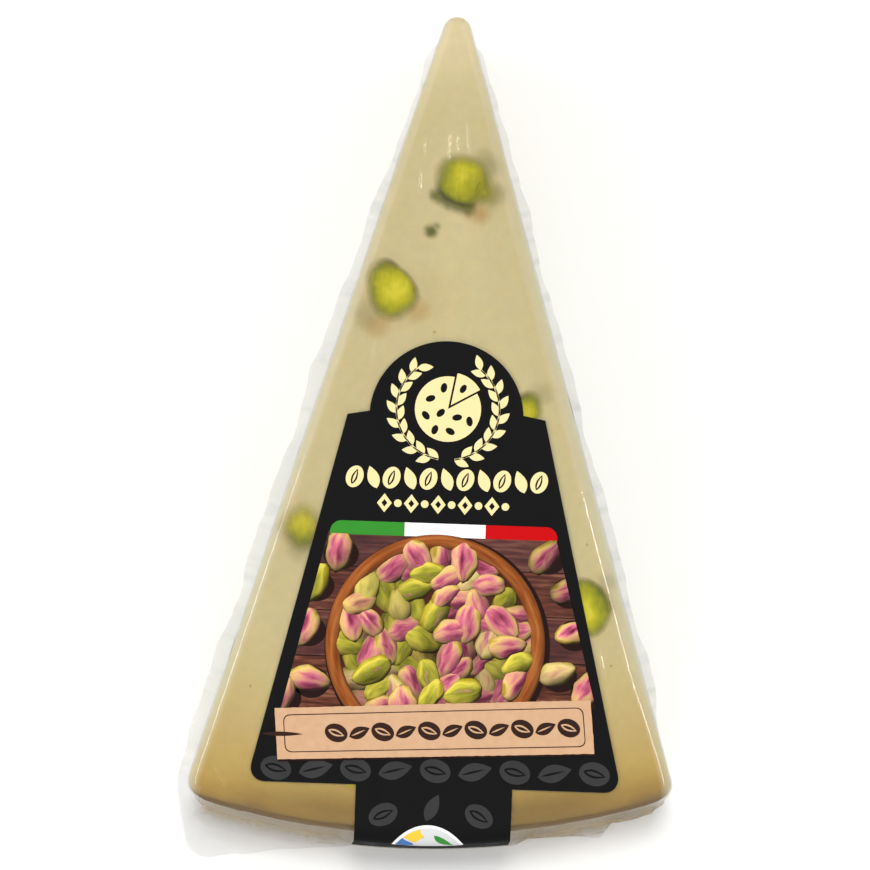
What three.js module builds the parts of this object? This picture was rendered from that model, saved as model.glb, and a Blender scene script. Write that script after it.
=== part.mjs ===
// A wedge of sheep's-milk cheese with pistachios, sealed under vacuum in clear film, with a die-cut label.
// The pack lies on its flat film with the labelled face up, its tip towards +Y and its rind towards -Y.
// The formed film is drawn tight over the cheese, so pack is one solid of the cheese's own form,
// with the sealed edge of the two films standing out round its foot as a thin, wavy brim.
// The label lies on the top face, bends over the rind's edge and runs down to the brim.
// Plan positions are first worked out from the wedge's sharp apex, where its two cut sides would meet.
import * as THREE from "three";

// Driving dimensions, in millimetres and degrees
const WEDGE_LENGTH = 146; // sharp apex to the middle of the rind
const WEDGE_ANGLE = 32.8; // between the two cut sides
const THICKNESS = 30;
const WHEEL_RADIUS = 137; // of the rind's curve
const RIND_SKEW = -1.6; // the rind isn't quite square to the wedge's axis

const TIP_RADIUS = 2.7;
const LEFT_CORNER_RADIUS = 3;
const RIGHT_CORNER_RADIUS = 2.6;
const EDGE_RADIUS = 2.4; // where the film is drawn over the top edge
const SOFT_EDGE_RADIUS = 3.6; // the right-hand side is softer
const FOOT_RADIUS = 1.6; // the film bridges the corner between wall and brim
const FOOT_SHARE = 0.8; // of the brim, at most
const SIDE_BULGE = 0.5; // the cut sides swell a little at half height

const BRIM_THICKNESS = 0.5;
const BRIM_LEFT = 4.2; // how far the trimmed edges are from the cut sides
const BRIM_RIGHT = 4.3;
const BRIM_BOTTOM = { x: 0, y: -147.2, facing: -85.5 }; // the straight trimmed edge past the rind
const BRIM_CORNER = { x: -45, y: -139, facing: 194 }; // the left corner, trimmed inwards
const BRIM_TIP = 2.8; // it is narrow round the tip
const BRIM_TUCKED = 1; // and at the right corner, where the film is folded in
const BRIM_UNEVEN = 0.16; // share by which its reach varies
const BRIM_LIFT = 1.2; // most that its wavy edge stands off the table

const LABEL_THICKNESS = 0.4;
const LABEL_GAP = 0.3; // clearance to the film
const LABEL_SHIFT = 0.4; // stuck on a little to the right
const DOME_RADIUS = 13;
const DOME_TOP = 63.6; // these are measured from the apex, down the label
const SHOULDER = DOME_TOP + DOME_RADIUS;
const SKIRT_END = 138.8;
const SHOULDER_HALF_WIDTH = 16.7;
const SKIRT_HALF_WIDTH = 31.2;
const SKIRT_CORNER_RADIUS = 3;
const TAB_SPREAD = 0.7; // the tab is a little wider at its foot, on each side
const TAB_SLANT = 0.2; // and runs down slightly to the left
const FLARE_RADIUS = 2.4; // where the tab turns out over the brim
const FLARE_SWEEP = 55;
const SIDE_STEPS = 3; // cells across each side column of the label
const MIDDLE_STEPS = 12;
const TINY = 1e-6;

const { clamp, lerp, smoothstep, degToRad: radians } = THREE.MathUtils;
const HALF_ANGLE = radians(WEDGE_ANGLE / 2);
const SKEW = radians(RIND_SKEW);

// The tab's stretches past the rind's edge: round the edge, down the wall, and then its flare
const BEND_LENGTH = ((EDGE_RADIUS + LABEL_GAP) * Math.PI) / 2;
const FLARE_HEIGHT = FLARE_RADIUS * Math.sin(radians(FLARE_SWEEP));
const WALL_LENGTH = THICKNESS - EDGE_RADIUS - (BRIM_THICKNESS + BRIM_LIFT + LABEL_GAP + FLARE_HEIGHT);

// Outward normals of the two cut sides, and the centre of the rind's arc
const LEFT = new THREE.Vector2(-Math.cos(HALF_ANGLE), Math.sin(HALF_ANGLE));
const RIGHT = new THREE.Vector2(Math.cos(HALF_ANGLE), Math.sin(HALF_ANGLE));
const WHEEL_CENTRE = new THREE.Vector2(
  WHEEL_RADIUS * Math.sin(SKEW),
  WHEEL_RADIUS * Math.cos(SKEW) - WEDGE_LENGTH,
);

// Evenly spaced values from the first to the last
function stepsBetween(first, last, steps) {
  return Array.from({ length: steps + 1 }, (_, i) => lerp(first, last, i / steps));
}

// The centre of the circle that rounds the corner between a cut side and the rind
function cornerCentre(sideNormal, radius) {
  const along = new THREE.Vector2(Math.sign(sideNormal.x) * Math.sin(HALF_ANGLE), -Math.cos(HALF_ANGLE));
  const start = sideNormal.clone().multiplyScalar(-radius).sub(WHEEL_CENTRE);
  const reach = WHEEL_RADIUS - radius;
  const half = start.dot(along);
  const travel = -half + Math.sqrt(half * half - start.lengthSq() + reach * reach);
  return start.addScaledVector(along, travel).add(WHEEL_CENTRE);
}

// Points on an arc, counter-clockwise, each with its outward normal
function arcSamples(centre, radius, from, to, steps) {
  return stepsBetween(from, to, steps).map((angle) => {
    const normal = new THREE.Vector2(Math.cos(angle), Math.sin(angle));
    return { point: centre.clone().addScaledVector(normal, radius), normal };
  });
}

// Points between the last sample of one arc and the first of the next, which share a normal
function straightSamples(from, to, steps) {
  return Array.from({ length: steps - 1 }, (_, i) => ({
    point: from.point.clone().lerp(to.point, (i + 1) / steps),
    normal: from.normal.clone(),
  }));
}

// The wedge's plan outline, counter-clockwise seen from above: rind, right corner, tip and left corner
function wedgeOutline() {
  const rightCorner = cornerCentre(RIGHT, RIGHT_CORNER_RADIUS);
  const leftCorner = cornerCentre(LEFT, LEFT_CORNER_RADIUS);
  const full = 2 * Math.PI;
  const rightTurn = rightCorner.clone().sub(WHEEL_CENTRE).angle() - full;
  const leftTurn = leftCorner.clone().sub(WHEEL_CENTRE).angle() - full;
  const tipCentre = new THREE.Vector2(0, -TIP_RADIUS / Math.sin(HALF_ANGLE));
  const rind = arcSamples(WHEEL_CENTRE, WHEEL_RADIUS, leftTurn, rightTurn, 30);
  const right = arcSamples(rightCorner, RIGHT_CORNER_RADIUS, rightTurn, HALF_ANGLE, 6);
  const tip = arcSamples(tipCentre, TIP_RADIUS, HALF_ANGLE, Math.PI - HALF_ANGLE, 9);
  const left = arcSamples(leftCorner, LEFT_CORNER_RADIUS, Math.PI - HALF_ANGLE, full + leftTurn, 6);
  return [
    ...rind,
    ...right.slice(1),
    ...straightSamples(right.at(-1), tip[0], 40),
    ...tip,
    ...straightSamples(tip.at(-1), left[0], 40),
    ...left.slice(0, -1),
  ];
}

// The right-hand edge is softer than the others, between a little below the tip and a little above the corner
function edgeRadius({ point, normal }) {
  const soft = smoothstep(normal.x, 0.3, 0.9) * smoothstep(-point.y, 15, 45) * smoothstep(point.y, -134, -116);
  return lerp(EDGE_RADIUS, SOFT_EDGE_RADIUS, soft);
}

// A straight trimmed edge through a place, facing outwards in a direction
function trimmedEdge({ x, y, facing }) {
  const normal = new THREE.Vector2(Math.cos(radians(facing)), Math.sin(radians(facing)));
  return { normal, offset: normal.dot(new THREE.Vector2(x, y)) };
}

const TRIMMED_EDGES = [
  { normal: LEFT, offset: BRIM_LEFT },
  { normal: RIGHT, offset: BRIM_RIGHT },
  trimmedEdge(BRIM_BOTTOM),
  trimmedEdge(BRIM_CORNER),
];

// How far the brim reaches along the outline's normal: to the nearest trimmed edge, with rounded corners,
// or less where it is narrow
function brimReach({ point, normal }) {
  const sharpness = 6;
  const near = TRIMMED_EDGES.filter((edge) => normal.dot(edge.normal) > 0.05).map(
    (edge) => (edge.offset - point.dot(edge.normal)) / normal.dot(edge.normal),
  );
  const reach = near.reduce((sum, distance) => sum + distance ** -sharpness, 0) ** (-1 / sharpness);
  const down = -point.y;
  const belowTip = lerp(smoothstep(down, 12, 30), smoothstep(down, 9, 14), smoothstep(normal.x, -0.5, 0.5));
  const tucked = smoothstep(down, 116, 138) * smoothstep(point.x, 28.5, 32);
  return lerp(lerp(Math.min(reach, BRIM_TIP), reach, belowTip), BRIM_TUCKED, tucked);
}

// Slow waves round the brim, between 0 and 1, at a place from 0 to 1 round the outline.
// Each wave has a count round the whole outline and a share of the height.
function brimWave(around, shift) {
  const waves = [
    { count: 12, share: 0.5 },
    { count: 22, share: 0.3 },
    { count: 49, share: 0.2 },
  ];
  const height = ({ count, share }) => share * (0.5 + 0.5 * Math.sin(2 * Math.PI * count * (around + shift)));
  return waves.reduce((sum, wave) => sum + height(wave), 0);
}

// The pack's profile as a list of steps, from the top face down, out along the brim and back under it.
// Each step gives, for a sample of the outline, how far out of it the surface is and how high.
function packProfile() {
  const quarter = Math.PI / 2;
  const footReach = (s) => Math.min(FOOT_RADIUS, FOOT_SHARE * s.reach);
  const topEdge = stepsBetween(0, quarter, 5).map((turn) => (s) => ({
    out: -edgeRadius(s) * (1 - Math.sin(turn)),
    z: THICKNESS - edgeRadius(s) * (1 - Math.cos(turn)),
  }));
  const wall = [0.68, 0.42, 0.2].map((height) => (s) => ({
    out: SIDE_BULGE * s.normal.x ** 2 * Math.sin(Math.PI * height),
    z: THICKNESS * height,
  }));
  const foot = stepsBetween(0, quarter, 3).map((turn) => (s) => ({
    out: footReach(s) * (1 - Math.cos(turn)),
    z: BRIM_THICKNESS + FOOT_RADIUS * (1 - Math.sin(turn)),
  }));
  const brim = [
    (s) => ({ out: s.reach, z: s.lift + BRIM_THICKNESS }),
    (s) => ({ out: s.reach, z: s.lift }),
    () => ({ out: 0, z: 0 }),
  ];
  return [...topEdge, ...wall, ...foot, ...brim];
}

// A closed surface through rings of equal length, with flat ends. The first ring is the top.
function surfaceThroughRings(rings) {
  const count = rings[0].length;
  const positions = rings.flat().flatMap((p) => [p.x, p.y, p.z]);
  const index = [];
  for (let r = 0; r < rings.length - 1; r++) {
    for (let i = 0; i < count; i++) {
      const upper = r * count;
      const lower = upper + count;
      const next = (i + 1) % count;
      index.push(upper + i, lower + i, lower + next, upper + i, lower + next, upper + next);
    }
  }
  const flat = (ring) => ring.map((p) => new THREE.Vector2(p.x, p.y));
  for (const [a, b, c] of THREE.ShapeUtils.triangulateShape(flat(rings[0]), [])) index.push(a, b, c);
  const last = (rings.length - 1) * count;
  for (const [a, b, c] of THREE.ShapeUtils.triangulateShape(flat(rings.at(-1)), [])) {
    index.push(last + a, last + c, last + b);
  }
  return new THREE.BufferGeometry()
    .setAttribute("position", new THREE.Float32BufferAttribute(positions, 3))
    .setIndex(index);
}

function makePack() {
  const outline = wedgeOutline();
  const stepLengths = outline.map(({ point }, i) => point.distanceTo(outline.at(i - 1).point));
  const perimeter = stepLengths.reduce((sum, length) => sum + length, 0);
  let around = 0;
  outline.forEach((sample, i) => {
    around += stepLengths[i] / perimeter;
    sample.reach = brimReach(sample) * (1 + BRIM_UNEVEN * (brimWave(around, 0) - 0.5));
    sample.lift = BRIM_LIFT * Math.min(1, sample.reach / BRIM_LEFT) * brimWave(around, 0.31);
  });
  const rings = packProfile().map((step) =>
    outline.map((sample) => {
      const { out, z } = step(sample);
      const place = sample.point.clone().addScaledVector(sample.normal, out);
      return new THREE.Vector3(place.x, place.y, z);
    }),
  );
  const material = new THREE.MeshStandardMaterial({ color: 0xd6c79a, roughness: 0.15, metalness: 0 });
  return new THREE.Mesh(surfaceThroughRings(rings), material);
}

// The label's half widths at a distance down it: of its middle column, which is also the dome and the tab,
// and of the whole label
function labelHalfWidths(down) {
  const rise = Math.max(SHOULDER - down, 0);
  const foot = Math.max(down - WEDGE_LENGTH, 0) / THICKNESS;
  const middle = Math.sqrt(Math.max(DOME_RADIUS ** 2 - rise ** 2, 0)) + TAB_SPREAD * foot;
  const skirt = lerp(SHOULDER_HALF_WIDTH, SKIRT_HALF_WIDTH, (down - SHOULDER) / (SKIRT_END - SHOULDER));
  const intoCorner = clamp(down - (SKIRT_END - SKIRT_CORNER_RADIUS), 0, SKIRT_CORNER_RADIUS);
  const cut = SKIRT_CORNER_RADIUS - Math.sqrt(SKIRT_CORNER_RADIUS ** 2 - intoCorner ** 2);
  return { middle, whole: skirt - cut };
}

// How far below the apex the rind's edge starts to bend under the label, at a place across it
function bendStart(across) {
  const reach = WHEEL_RADIUS - EDGE_RADIUS;
  return Math.sqrt(reach ** 2 - (across + LABEL_SHIFT - WHEEL_CENTRE.x) ** 2) - WHEEL_CENTRE.y;
}

// Where a point of the flat label goes: over the rind's edge, down the wall and out over the brim.
// across is from the label's own centre line, down from the apex, and raise from the label's underside.
function wrapLabel(across, down, raise) {
  const rest = down - bendStart(across);
  if (rest <= 0) return new THREE.Vector3(across + LABEL_SHIFT, -down, THICKNESS + LABEL_GAP + raise);
  const bend = EDGE_RADIUS + LABEL_GAP;
  const bendTurn = Math.min(rest / bend, Math.PI / 2);
  const alongWall = clamp(rest - BEND_LENGTH, 0, WALL_LENGTH);
  const flareTurn = clamp((rest - BEND_LENGTH - WALL_LENGTH) / FLARE_RADIUS, 0, radians(FLARE_SWEEP));
  const radius =
    WHEEL_RADIUS - EDGE_RADIUS +
    (bend + raise) * Math.sin(bendTurn) +
    (FLARE_RADIUS - raise) * (1 - Math.cos(flareTurn));
  const z =
    THICKNESS - EDGE_RADIUS +
    (bend + raise) * Math.cos(bendTurn) -
    alongWall -
    (FLARE_RADIUS - raise) * Math.sin(flareTurn);
  const x = across + LABEL_SHIFT - (TAB_SLANT * (THICKNESS - z)) / THICKNESS;
  return new THREE.Vector3(x, WHEEL_CENTRE.y - Math.sqrt(radius ** 2 - (x - WHEEL_CENTRE.x) ** 2), z);
}

// Each row of the label as its distance down from the apex, at a place across it.
// The rows of the dome and the skirt are straight, and those of the tab follow the rind's edge.
function labelRows() {
  const quarter = Math.PI / 2;
  const cornerTop = SKIRT_END - SKIRT_CORNER_RADIUS;
  const straight = [
    ...stepsBetween(0, quarter, 12).map((turn) => DOME_TOP + DOME_RADIUS * (1 - Math.cos(turn))),
    ...stepsBetween(SHOULDER, cornerTop, 6).slice(1),
    ...stepsBetween(0, quarter, 5).slice(1).map((turn) => cornerTop + SKIRT_CORNER_RADIUS * Math.sin(turn)),
  ];
  const flareStart = BEND_LENGTH + WALL_LENGTH;
  const past = [
    ...stepsBetween(0, BEND_LENGTH, 6),
    ...stepsBetween(BEND_LENGTH, flareStart, 4).slice(1),
    ...stepsBetween(flareStart, flareStart + FLARE_RADIUS * radians(FLARE_SWEEP), 5).slice(1),
  ];
  return [
    ...straight.map((down) => () => down),
    ...past.map((rest) => (across) => bendStart(across) + rest),
  ];
}

// One row of the label, from left to right: a side column, the middle column, and a side column again
function labelRow(row) {
  const { middle, whole } = labelHalfWidths(row(0));
  return [
    ...stepsBetween(-whole, -middle, SIDE_STEPS).slice(0, -1),
    ...stepsBetween(-middle, middle, MIDDLE_STEPS),
    ...stepsBetween(middle, whole, SIDE_STEPS).slice(1),
  ].map((across) => [across, row(across)]);
}

// The label as a thick sheet: each cell between two rows has an upper and a lower face,
// and a wall wherever it has no neighbour. Only the skirt has cells in the side columns.
function makeLabel() {
  const rows = labelRows();
  const columns = 2 * SIDE_STEPS + MIDDLE_STEPS;
  const vertices = [0, LABEL_THICKNESS].flatMap((raise) =>
    rows.flatMap((row) => labelRow(row).map(([across, down]) => wrapLabel(across, down, raise))),
  );
  const at = (upper, row, column) => ((upper ? rows.length : 0) + row) * (columns + 1) + column;
  const inMiddle = (column) => column >= SIDE_STEPS && column < SIDE_STEPS + MIDDLE_STEPS;
  const inSkirt = (row) => rows[row](0) >= SHOULDER - TINY && rows[row + 1](0) <= SKIRT_END + TINY;
  const exists = (row, column) => {
    if (row < 0 || row > rows.length - 2 || column < 0 || column >= columns) return false;
    return inMiddle(column) || inSkirt(row);
  };
  const index = [];
  const addTriangle = (a, b, c) => {
    const [p, q, r] = [vertices[a], vertices[b], vertices[c]];
    if (new THREE.Triangle(p, q, r).getArea() > TINY) index.push(a, b, c);
  };
  const addQuad = (a, b, c, d) => {
    addTriangle(a, b, c);
    addTriangle(a, c, d);
  };
  for (let row = 0; row < rows.length - 1; row++) {
    for (let column = 0; column < columns; column++) {
      if (!exists(row, column)) continue;
      const ring = (upper) => [
        at(upper, row, column),
        at(upper, row + 1, column),
        at(upper, row + 1, column + 1),
        at(upper, row, column + 1),
      ];
      const top = ring(true);
      const under = ring(false);
      const neighbours = [
        [row, column - 1],
        [row + 1, column],
        [row, column + 1],
        [row - 1, column],
      ];
      addQuad(...top);
      addQuad(...[...under].reverse());
      neighbours.forEach((neighbour, side) => {
        const next = (side + 1) % 4;
        if (!exists(...neighbour)) addQuad(top[side], under[side], under[next], top[next]);
      });
    }
  }
  const geometry = new THREE.BufferGeometry()
    .setAttribute("position", new THREE.Float32BufferAttribute(vertices.flatMap((v) => [v.x, v.y, v.z]), 3))
    .setIndex(index);
  const material = new THREE.MeshStandardMaterial({ color: 0x1c1c1c, roughness: 0.4, metalness: 0 });
  return new THREE.Mesh(geometry, material);
}

// The group's origin is the middle of the object's foot
const wedge = new THREE.Group();
const pack = makePack();
pack.name = "pack";
const label = makeLabel();
label.name = "label";
wedge.add(pack, label);
const box = new THREE.Box3().setFromObject(wedge);
wedge.position.set(-(box.min.x + box.max.x) / 2, -(box.min.y + box.max.y) / 2, -box.min.z);

const object = new THREE.Group();
object.add(wedge);
export default object;
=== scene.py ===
# %% [markdown]
# # A vacuum-packed wedge of pecorino with pistachios
# The real object is a thin wedge of semi-hard cheese, cut from a small wheel, sealed under vacuum between
# two clear films and dressed with a black die-cut paper label. Five things make its look: the translucent
# paste, the green kernels that the knife cut through, the glossy film with its crinkled brim, the satin
# label, and the small printed picture on it. Each gets its own cells below.
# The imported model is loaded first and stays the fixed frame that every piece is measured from.

# %% Load the frame
import math

import bmesh
import bpy
import numpy as np
from mathutils import Matrix, Vector, noise
from mathutils.geometry import delaunay_2d_cdt


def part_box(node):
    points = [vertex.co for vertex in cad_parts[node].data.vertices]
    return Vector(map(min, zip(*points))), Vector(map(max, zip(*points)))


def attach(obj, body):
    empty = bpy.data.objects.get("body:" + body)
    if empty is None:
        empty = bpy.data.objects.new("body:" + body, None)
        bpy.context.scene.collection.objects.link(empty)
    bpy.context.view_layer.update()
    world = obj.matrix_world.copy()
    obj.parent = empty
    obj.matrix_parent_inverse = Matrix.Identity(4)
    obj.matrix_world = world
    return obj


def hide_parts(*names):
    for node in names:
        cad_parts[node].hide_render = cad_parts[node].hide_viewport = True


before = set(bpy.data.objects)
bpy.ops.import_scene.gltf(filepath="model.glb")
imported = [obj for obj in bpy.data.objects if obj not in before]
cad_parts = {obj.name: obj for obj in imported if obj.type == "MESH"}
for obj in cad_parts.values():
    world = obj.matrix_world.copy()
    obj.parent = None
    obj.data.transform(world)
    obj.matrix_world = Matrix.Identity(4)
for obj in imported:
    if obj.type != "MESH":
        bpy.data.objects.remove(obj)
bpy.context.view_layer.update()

# %% [markdown]
# ## Millimetres from the apex
# A wedge is easiest to describe from its sharp apex, where the two cut sides would meet. So all sizes below
# are millimetres in that wedge frame: x across, y along the axis (the rind is at minus y) and z up from the
# table. The apex itself comes from the label's box, because the label's place on the wedge is known.

# %% Where the apex is in the frame
MM = 0.001
LABEL_SHIFT = 0.4  # the label is stuck on a little to the right of the axis
DOME_TOP = 63.6  # from the apex down to the label's domed top

label_low, label_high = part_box("label")
APEX = np.array([(label_low.x + label_high.x) / 2 / MM - LABEL_SHIFT, label_high.y / MM + DOME_TOP, 0.0])
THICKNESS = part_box("pack")[1].z / MM


def to_frame(points):
    """Points of the wedge frame, in millimetres, as points of the frame, in metres."""
    return (np.asarray(points, float) + APEX) * MM


print("apex in the frame, mm:", APEX.round(2), "thickness, mm:", round(THICKNESS, 2))

# %% [markdown]
# ## Making meshes
# Every piece ends as a plain mesh object at the origin, with its place in its vertices. A piece could be
# built with operators, but arrays of points are exact and quick. Flat or nearly flat areas are filled by a
# Delaunay triangulation, which takes any outline, holes and any extra points inside it.

# %% Mesh helpers
SCENE = bpy.context.scene


def smoothstep(value, low, high):
    """0 below low, 1 above high, and a smooth rise between them."""
    share = np.clip((np.asarray(value, float) - low) / (high - low), 0, 1)
    return share * share * (3 - 2 * share)


def linked(name, data):
    """A new object in the scene for a mesh, a lamp or a camera."""
    thing = bpy.data.objects.new(name, data)
    SCENE.collection.objects.link(thing)
    return thing


def new_object(name, vertices, faces, materials=(), smooth=True):
    """A mesh object from points in its own units and lists of corner numbers."""
    mesh = bpy.data.meshes.new(name)
    corners, loops = np.asarray(vertices, float).tolist(), [list(face) for face in faces]
    mesh.from_pydata(corners, [], loops, shade_flat=not smooth)
    for material in materials:
        mesh.materials.append(material)
    return linked(name, mesh)


def set_attribute(piece, name, values):
    """Stores one number for each vertex, which the piece's material can read."""
    attribute = piece.data.attributes.new(name, "FLOAT", "POINT")
    attribute.data.foreach_set("value", np.asarray(values, np.float32))


def triangulate(loops, inner=()):
    """Triangles over the area inside the first loop and outside the others, with points inside it."""
    flat = [Vector((p[0], p[1])) for points in (*loops, inner) for p in points]
    fields, start = [], 0
    for loop in loops:
        fields.append(list(range(start, start + len(loop))))
        start += len(loop)
    triangles_without_holes = 2
    made = delaunay_2d_cdt(flat, [], fields, triangles_without_holes, 1e-5)
    source = [origin[0] for origin in made[3]]
    triangles = []
    for a, b, c in made[2]:
        turn = (made[0][b] - made[0][a]).cross(made[0][c] - made[0][a])
        corners = (a, b, c) if turn > 0 else (a, c, b)
        triangles.append(tuple(source[corner] for corner in corners))
    return triangles


def bridge(count, upper, lower):
    """Faces between two rings of points, with the upper ring's outside to the right when seen from above."""
    nexts = [(i + 1) % count for i in range(count)]
    return [(upper + i, lower + i, lower + n, upper + n) for i, n in enumerate(nexts)]


def tube(count, rings):
    """Faces between all the rings of a tube, each of which has the same count of points."""
    return [face for r in range(rings - 1) for face in bridge(count, r * count, (r + 1) * count)]


def closed_tube(count, rings):
    """Faces of a tube with closed ends, which meet at two more points after those of its rings."""
    last = (rings - 1) * count
    nexts = [(i + 1) % count for i in range(count)]
    first_end = [(last + count, i, n) for i, n in enumerate(nexts)]
    last_end = [(last + count + 1, last + n, last + i) for i, n in enumerate(nexts)]
    return tube(count, rings) + first_end + last_end


def joined(parts):
    """Several lots of points and faces as one."""
    points, faces, start = [], [], 0
    for part_points, part_faces in parts:
        points.append(part_points)
        faces += [[start + corner for corner in face] for face in part_faces]
        start += len(part_points)
    return np.concatenate(points), faces


def at_height(plan, z):
    """Points of the plan at one height, or at one height each."""
    return np.column_stack([plan, np.broadcast_to(z, len(plan))])


def shell(rings, inner, inner_z, base, base_z):
    """Points and faces of a closed body: rings from its top edge down, then its top and its underside."""
    count, first_inner = len(rings[0]), len(rings) * len(rings[0])
    first_base = first_inner + len(inner)
    points = np.concatenate([*rings, at_height(inner, inner_z), at_height(base, base_z)])
    top_numbers = [*range(count), *range(first_inner, first_base)]
    base_numbers = [*range(first_inner - count, first_inner), *range(first_base, len(points))]
    faces = tube(count, len(rings))
    faces += [[top_numbers[i] for i in tri] for tri in triangulate([rings[0]], inner)]
    faces += [[base_numbers[i] for i in tri[::-1]] for tri in triangulate([rings[-1]], base)]
    return points, faces


def triangle_count(*pieces):
    """How many triangles the pieces have."""
    return sum(len(face.vertices) - 2 for piece in pieces for face in piece.data.polygons)


def nearest(points, others):
    """How far each point of the plan is from the nearest of some others."""
    chunks = np.array_split(points, max(1, len(points) // 500))
    return np.concatenate([np.linalg.norm(chunk[:, None] - others, axis=2).min(1) for chunk in chunks])


def grid_inside(loop, spacing, margin):
    """A triangular grid of points inside a loop, none nearer to the loop's points than the margin."""
    loop = np.asarray(loop, float)[:, :2]
    low, high = loop.min(0), loop.max(0)
    rows = np.arange(low[1], high[1], spacing * math.sqrt(3) / 2)
    points = [
        (x, y)
        for number, y in enumerate(rows)
        for x in np.arange(low[0] + spacing * 0.5 * (number % 2), high[0], spacing)
    ]
    kept = []
    after = np.roll(loop, -1, 0)
    for chunk in np.array_split(np.array(points), max(1, len(points) // 500)):
        x, y = chunk[:, :1], chunk[:, 1:]
        crosses = (loop[:, 1] > y) != (after[:, 1] > y)
        rise = np.where(after[:, 1] == loop[:, 1], 1, after[:, 1] - loop[:, 1])
        at = (after[:, 0] - loop[:, 0]) * (y - loop[:, 1]) / rise + loop[:, 0]
        inside = ((x < at) & crosses).sum(1) % 2 == 1
        near = ((x - loop[:, 0]) ** 2 + (y - loop[:, 1]) ** 2).min(1) < margin**2
        kept.append(chunk[inside & ~near])
    return np.concatenate(kept)


# %% [markdown]
# ## The wedge's outline
# The plan is a triangle with one curved side: two straight cuts that meet in a rounded tip, and the rind, an
# arc of the wheel's own circle. It is sampled as points with outward normals, so that any inner or outer
# form (paste, film, brim) is only an offset of it. The numbers are the solids' own driving dimensions.

# %% The wedge's dimensions
WEDGE_LENGTH = 146  # sharp apex to the middle of the rind
HALF_ANGLE = math.radians(32.8 / 2)
WHEEL_RADIUS = 137
RIND_SKEW = math.radians(-1.6)
TIP_RADIUS = 2.55
LEFT_CORNER_RADIUS = 3
RIGHT_CORNER_RADIUS = 2.6
WHEEL_CENTRE = np.array(
    [WHEEL_RADIUS * math.sin(RIND_SKEW), WHEEL_RADIUS * math.cos(RIND_SKEW) - WEDGE_LENGTH]
)
LEFT = np.array([-math.cos(HALF_ANGLE), math.sin(HALF_ANGLE)])  # outward normals of the cut sides
RIGHT = np.array([math.cos(HALF_ANGLE), math.sin(HALF_ANGLE)])


def corner_centre(side, radius):
    """The centre of the circle that rounds the corner between a cut side and the rind."""
    along = np.array([math.copysign(math.sin(HALF_ANGLE), side[0]), -math.cos(HALF_ANGLE)])
    start = -radius * side - WHEEL_CENTRE
    half = start @ along
    travel = -half + math.sqrt(half**2 - start @ start + (WHEEL_RADIUS - radius) ** 2)
    return start + travel * along + WHEEL_CENTRE


def arc(centre, radius, start, end, spacing):
    """Points on an arc and their outward normals."""
    steps = max(6, round(radius * abs(end - start) / spacing))
    turn = np.linspace(start, end, steps + 1)
    normals = np.stack([np.cos(turn), np.sin(turn)], 1)
    return centre + radius * normals, normals


def straight(start, end, normal, spacing):
    """Points between two others, and the normal that they share."""
    steps = round(np.linalg.norm(end - start) / spacing)
    share = np.linspace(0, 1, steps + 1)[1:-1, None]
    return start + share * (end - start), np.tile(normal, (len(share), 1))


def wedge_outline(spacing):
    """The wedge's outline, counter-clockwise from its left rind corner: points, normals, place round it."""
    right_centre = corner_centre(RIGHT, RIGHT_CORNER_RADIUS)
    left_centre = corner_centre(LEFT, LEFT_CORNER_RADIUS)
    right_turn = math.atan2(*(right_centre - WHEEL_CENTRE)[::-1])
    left_turn = math.atan2(*(left_centre - WHEEL_CENTRE)[::-1])
    tip_centre = np.array([0, -TIP_RADIUS / math.sin(HALF_ANGLE)])
    fine = spacing / 2
    rind = arc(WHEEL_CENTRE, WHEEL_RADIUS, left_turn, right_turn, spacing)
    right = arc(right_centre, RIGHT_CORNER_RADIUS, right_turn, HALF_ANGLE, fine)
    tip = arc(tip_centre, TIP_RADIUS, HALF_ANGLE, math.pi - HALF_ANGLE, fine)
    left = arc(left_centre, LEFT_CORNER_RADIUS, math.pi - HALF_ANGLE, 2 * math.pi + left_turn, fine)
    stretches = [
        rind,
        (right[0][1:], right[1][1:]),
        straight(right[0][-1], tip[0][0], RIGHT, spacing),
        tip,
        straight(tip[0][-1], left[0][0], LEFT, spacing),
        (left[0][:-1], left[1][:-1]),
    ]
    points, normals = (np.concatenate(parts) for parts in zip(*stretches))
    steps = np.linalg.norm(points - np.roll(points, 1, 0), axis=1)
    return points, normals, np.cumsum(steps) / steps.sum()


OUTLINE, NORMALS, AROUND = wedge_outline(0.45)
print("outline points:", len(OUTLINE))

# %% [markdown]
# ## Edges and ripples
# The film is drawn over the top edges, more softly on the right-hand side. Under it nothing is dead flat:
# a slow ripple of a few hundredths of a millimetre is what breaks a reflection into the uneven, wandering
# line that a real pack shows.

# %% Edge radius and ripple
EDGE_RADIUS = 2.4
SOFT_EDGE_RADIUS = 3.6
SIDE_BULGE = 0.5  # the cut sides swell a little at half height


def edge_radius(points, normals):
    """The radius of the top edge at places on the outline."""
    soft = smoothstep(normals[:, 0], 0.3, 0.9)
    soft *= smoothstep(-points[:, 1], 15, 45)
    soft *= smoothstep(points[:, 1], -134, -116)
    return EDGE_RADIUS + (SOFT_EDGE_RADIUS - EDGE_RADIUS) * soft


def ripple(points, wavelength, seed):
    """Smooth random values from -1 to 1 at points, with features of about the given size."""
    shift = Vector((seed * 7.3, seed * 3.1, seed * 5.7))
    return np.array([noise.noise(Vector(p) / wavelength + shift) for p in np.asarray(points).tolist()])


def ripple_flat(points, wavelength, seed):
    """The same for points of the plan."""
    return ripple(at_height(points, 0), wavelength, seed)


# %% [markdown]
# ## Camera
# The photograph looks almost straight down on the pack, from about a forearm's length and with a long lens.
# Its place was fitted to the wedge's corners and the label's edges. The pack is turned a few degrees in the
# picture, which is the camera's roll.

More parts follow.
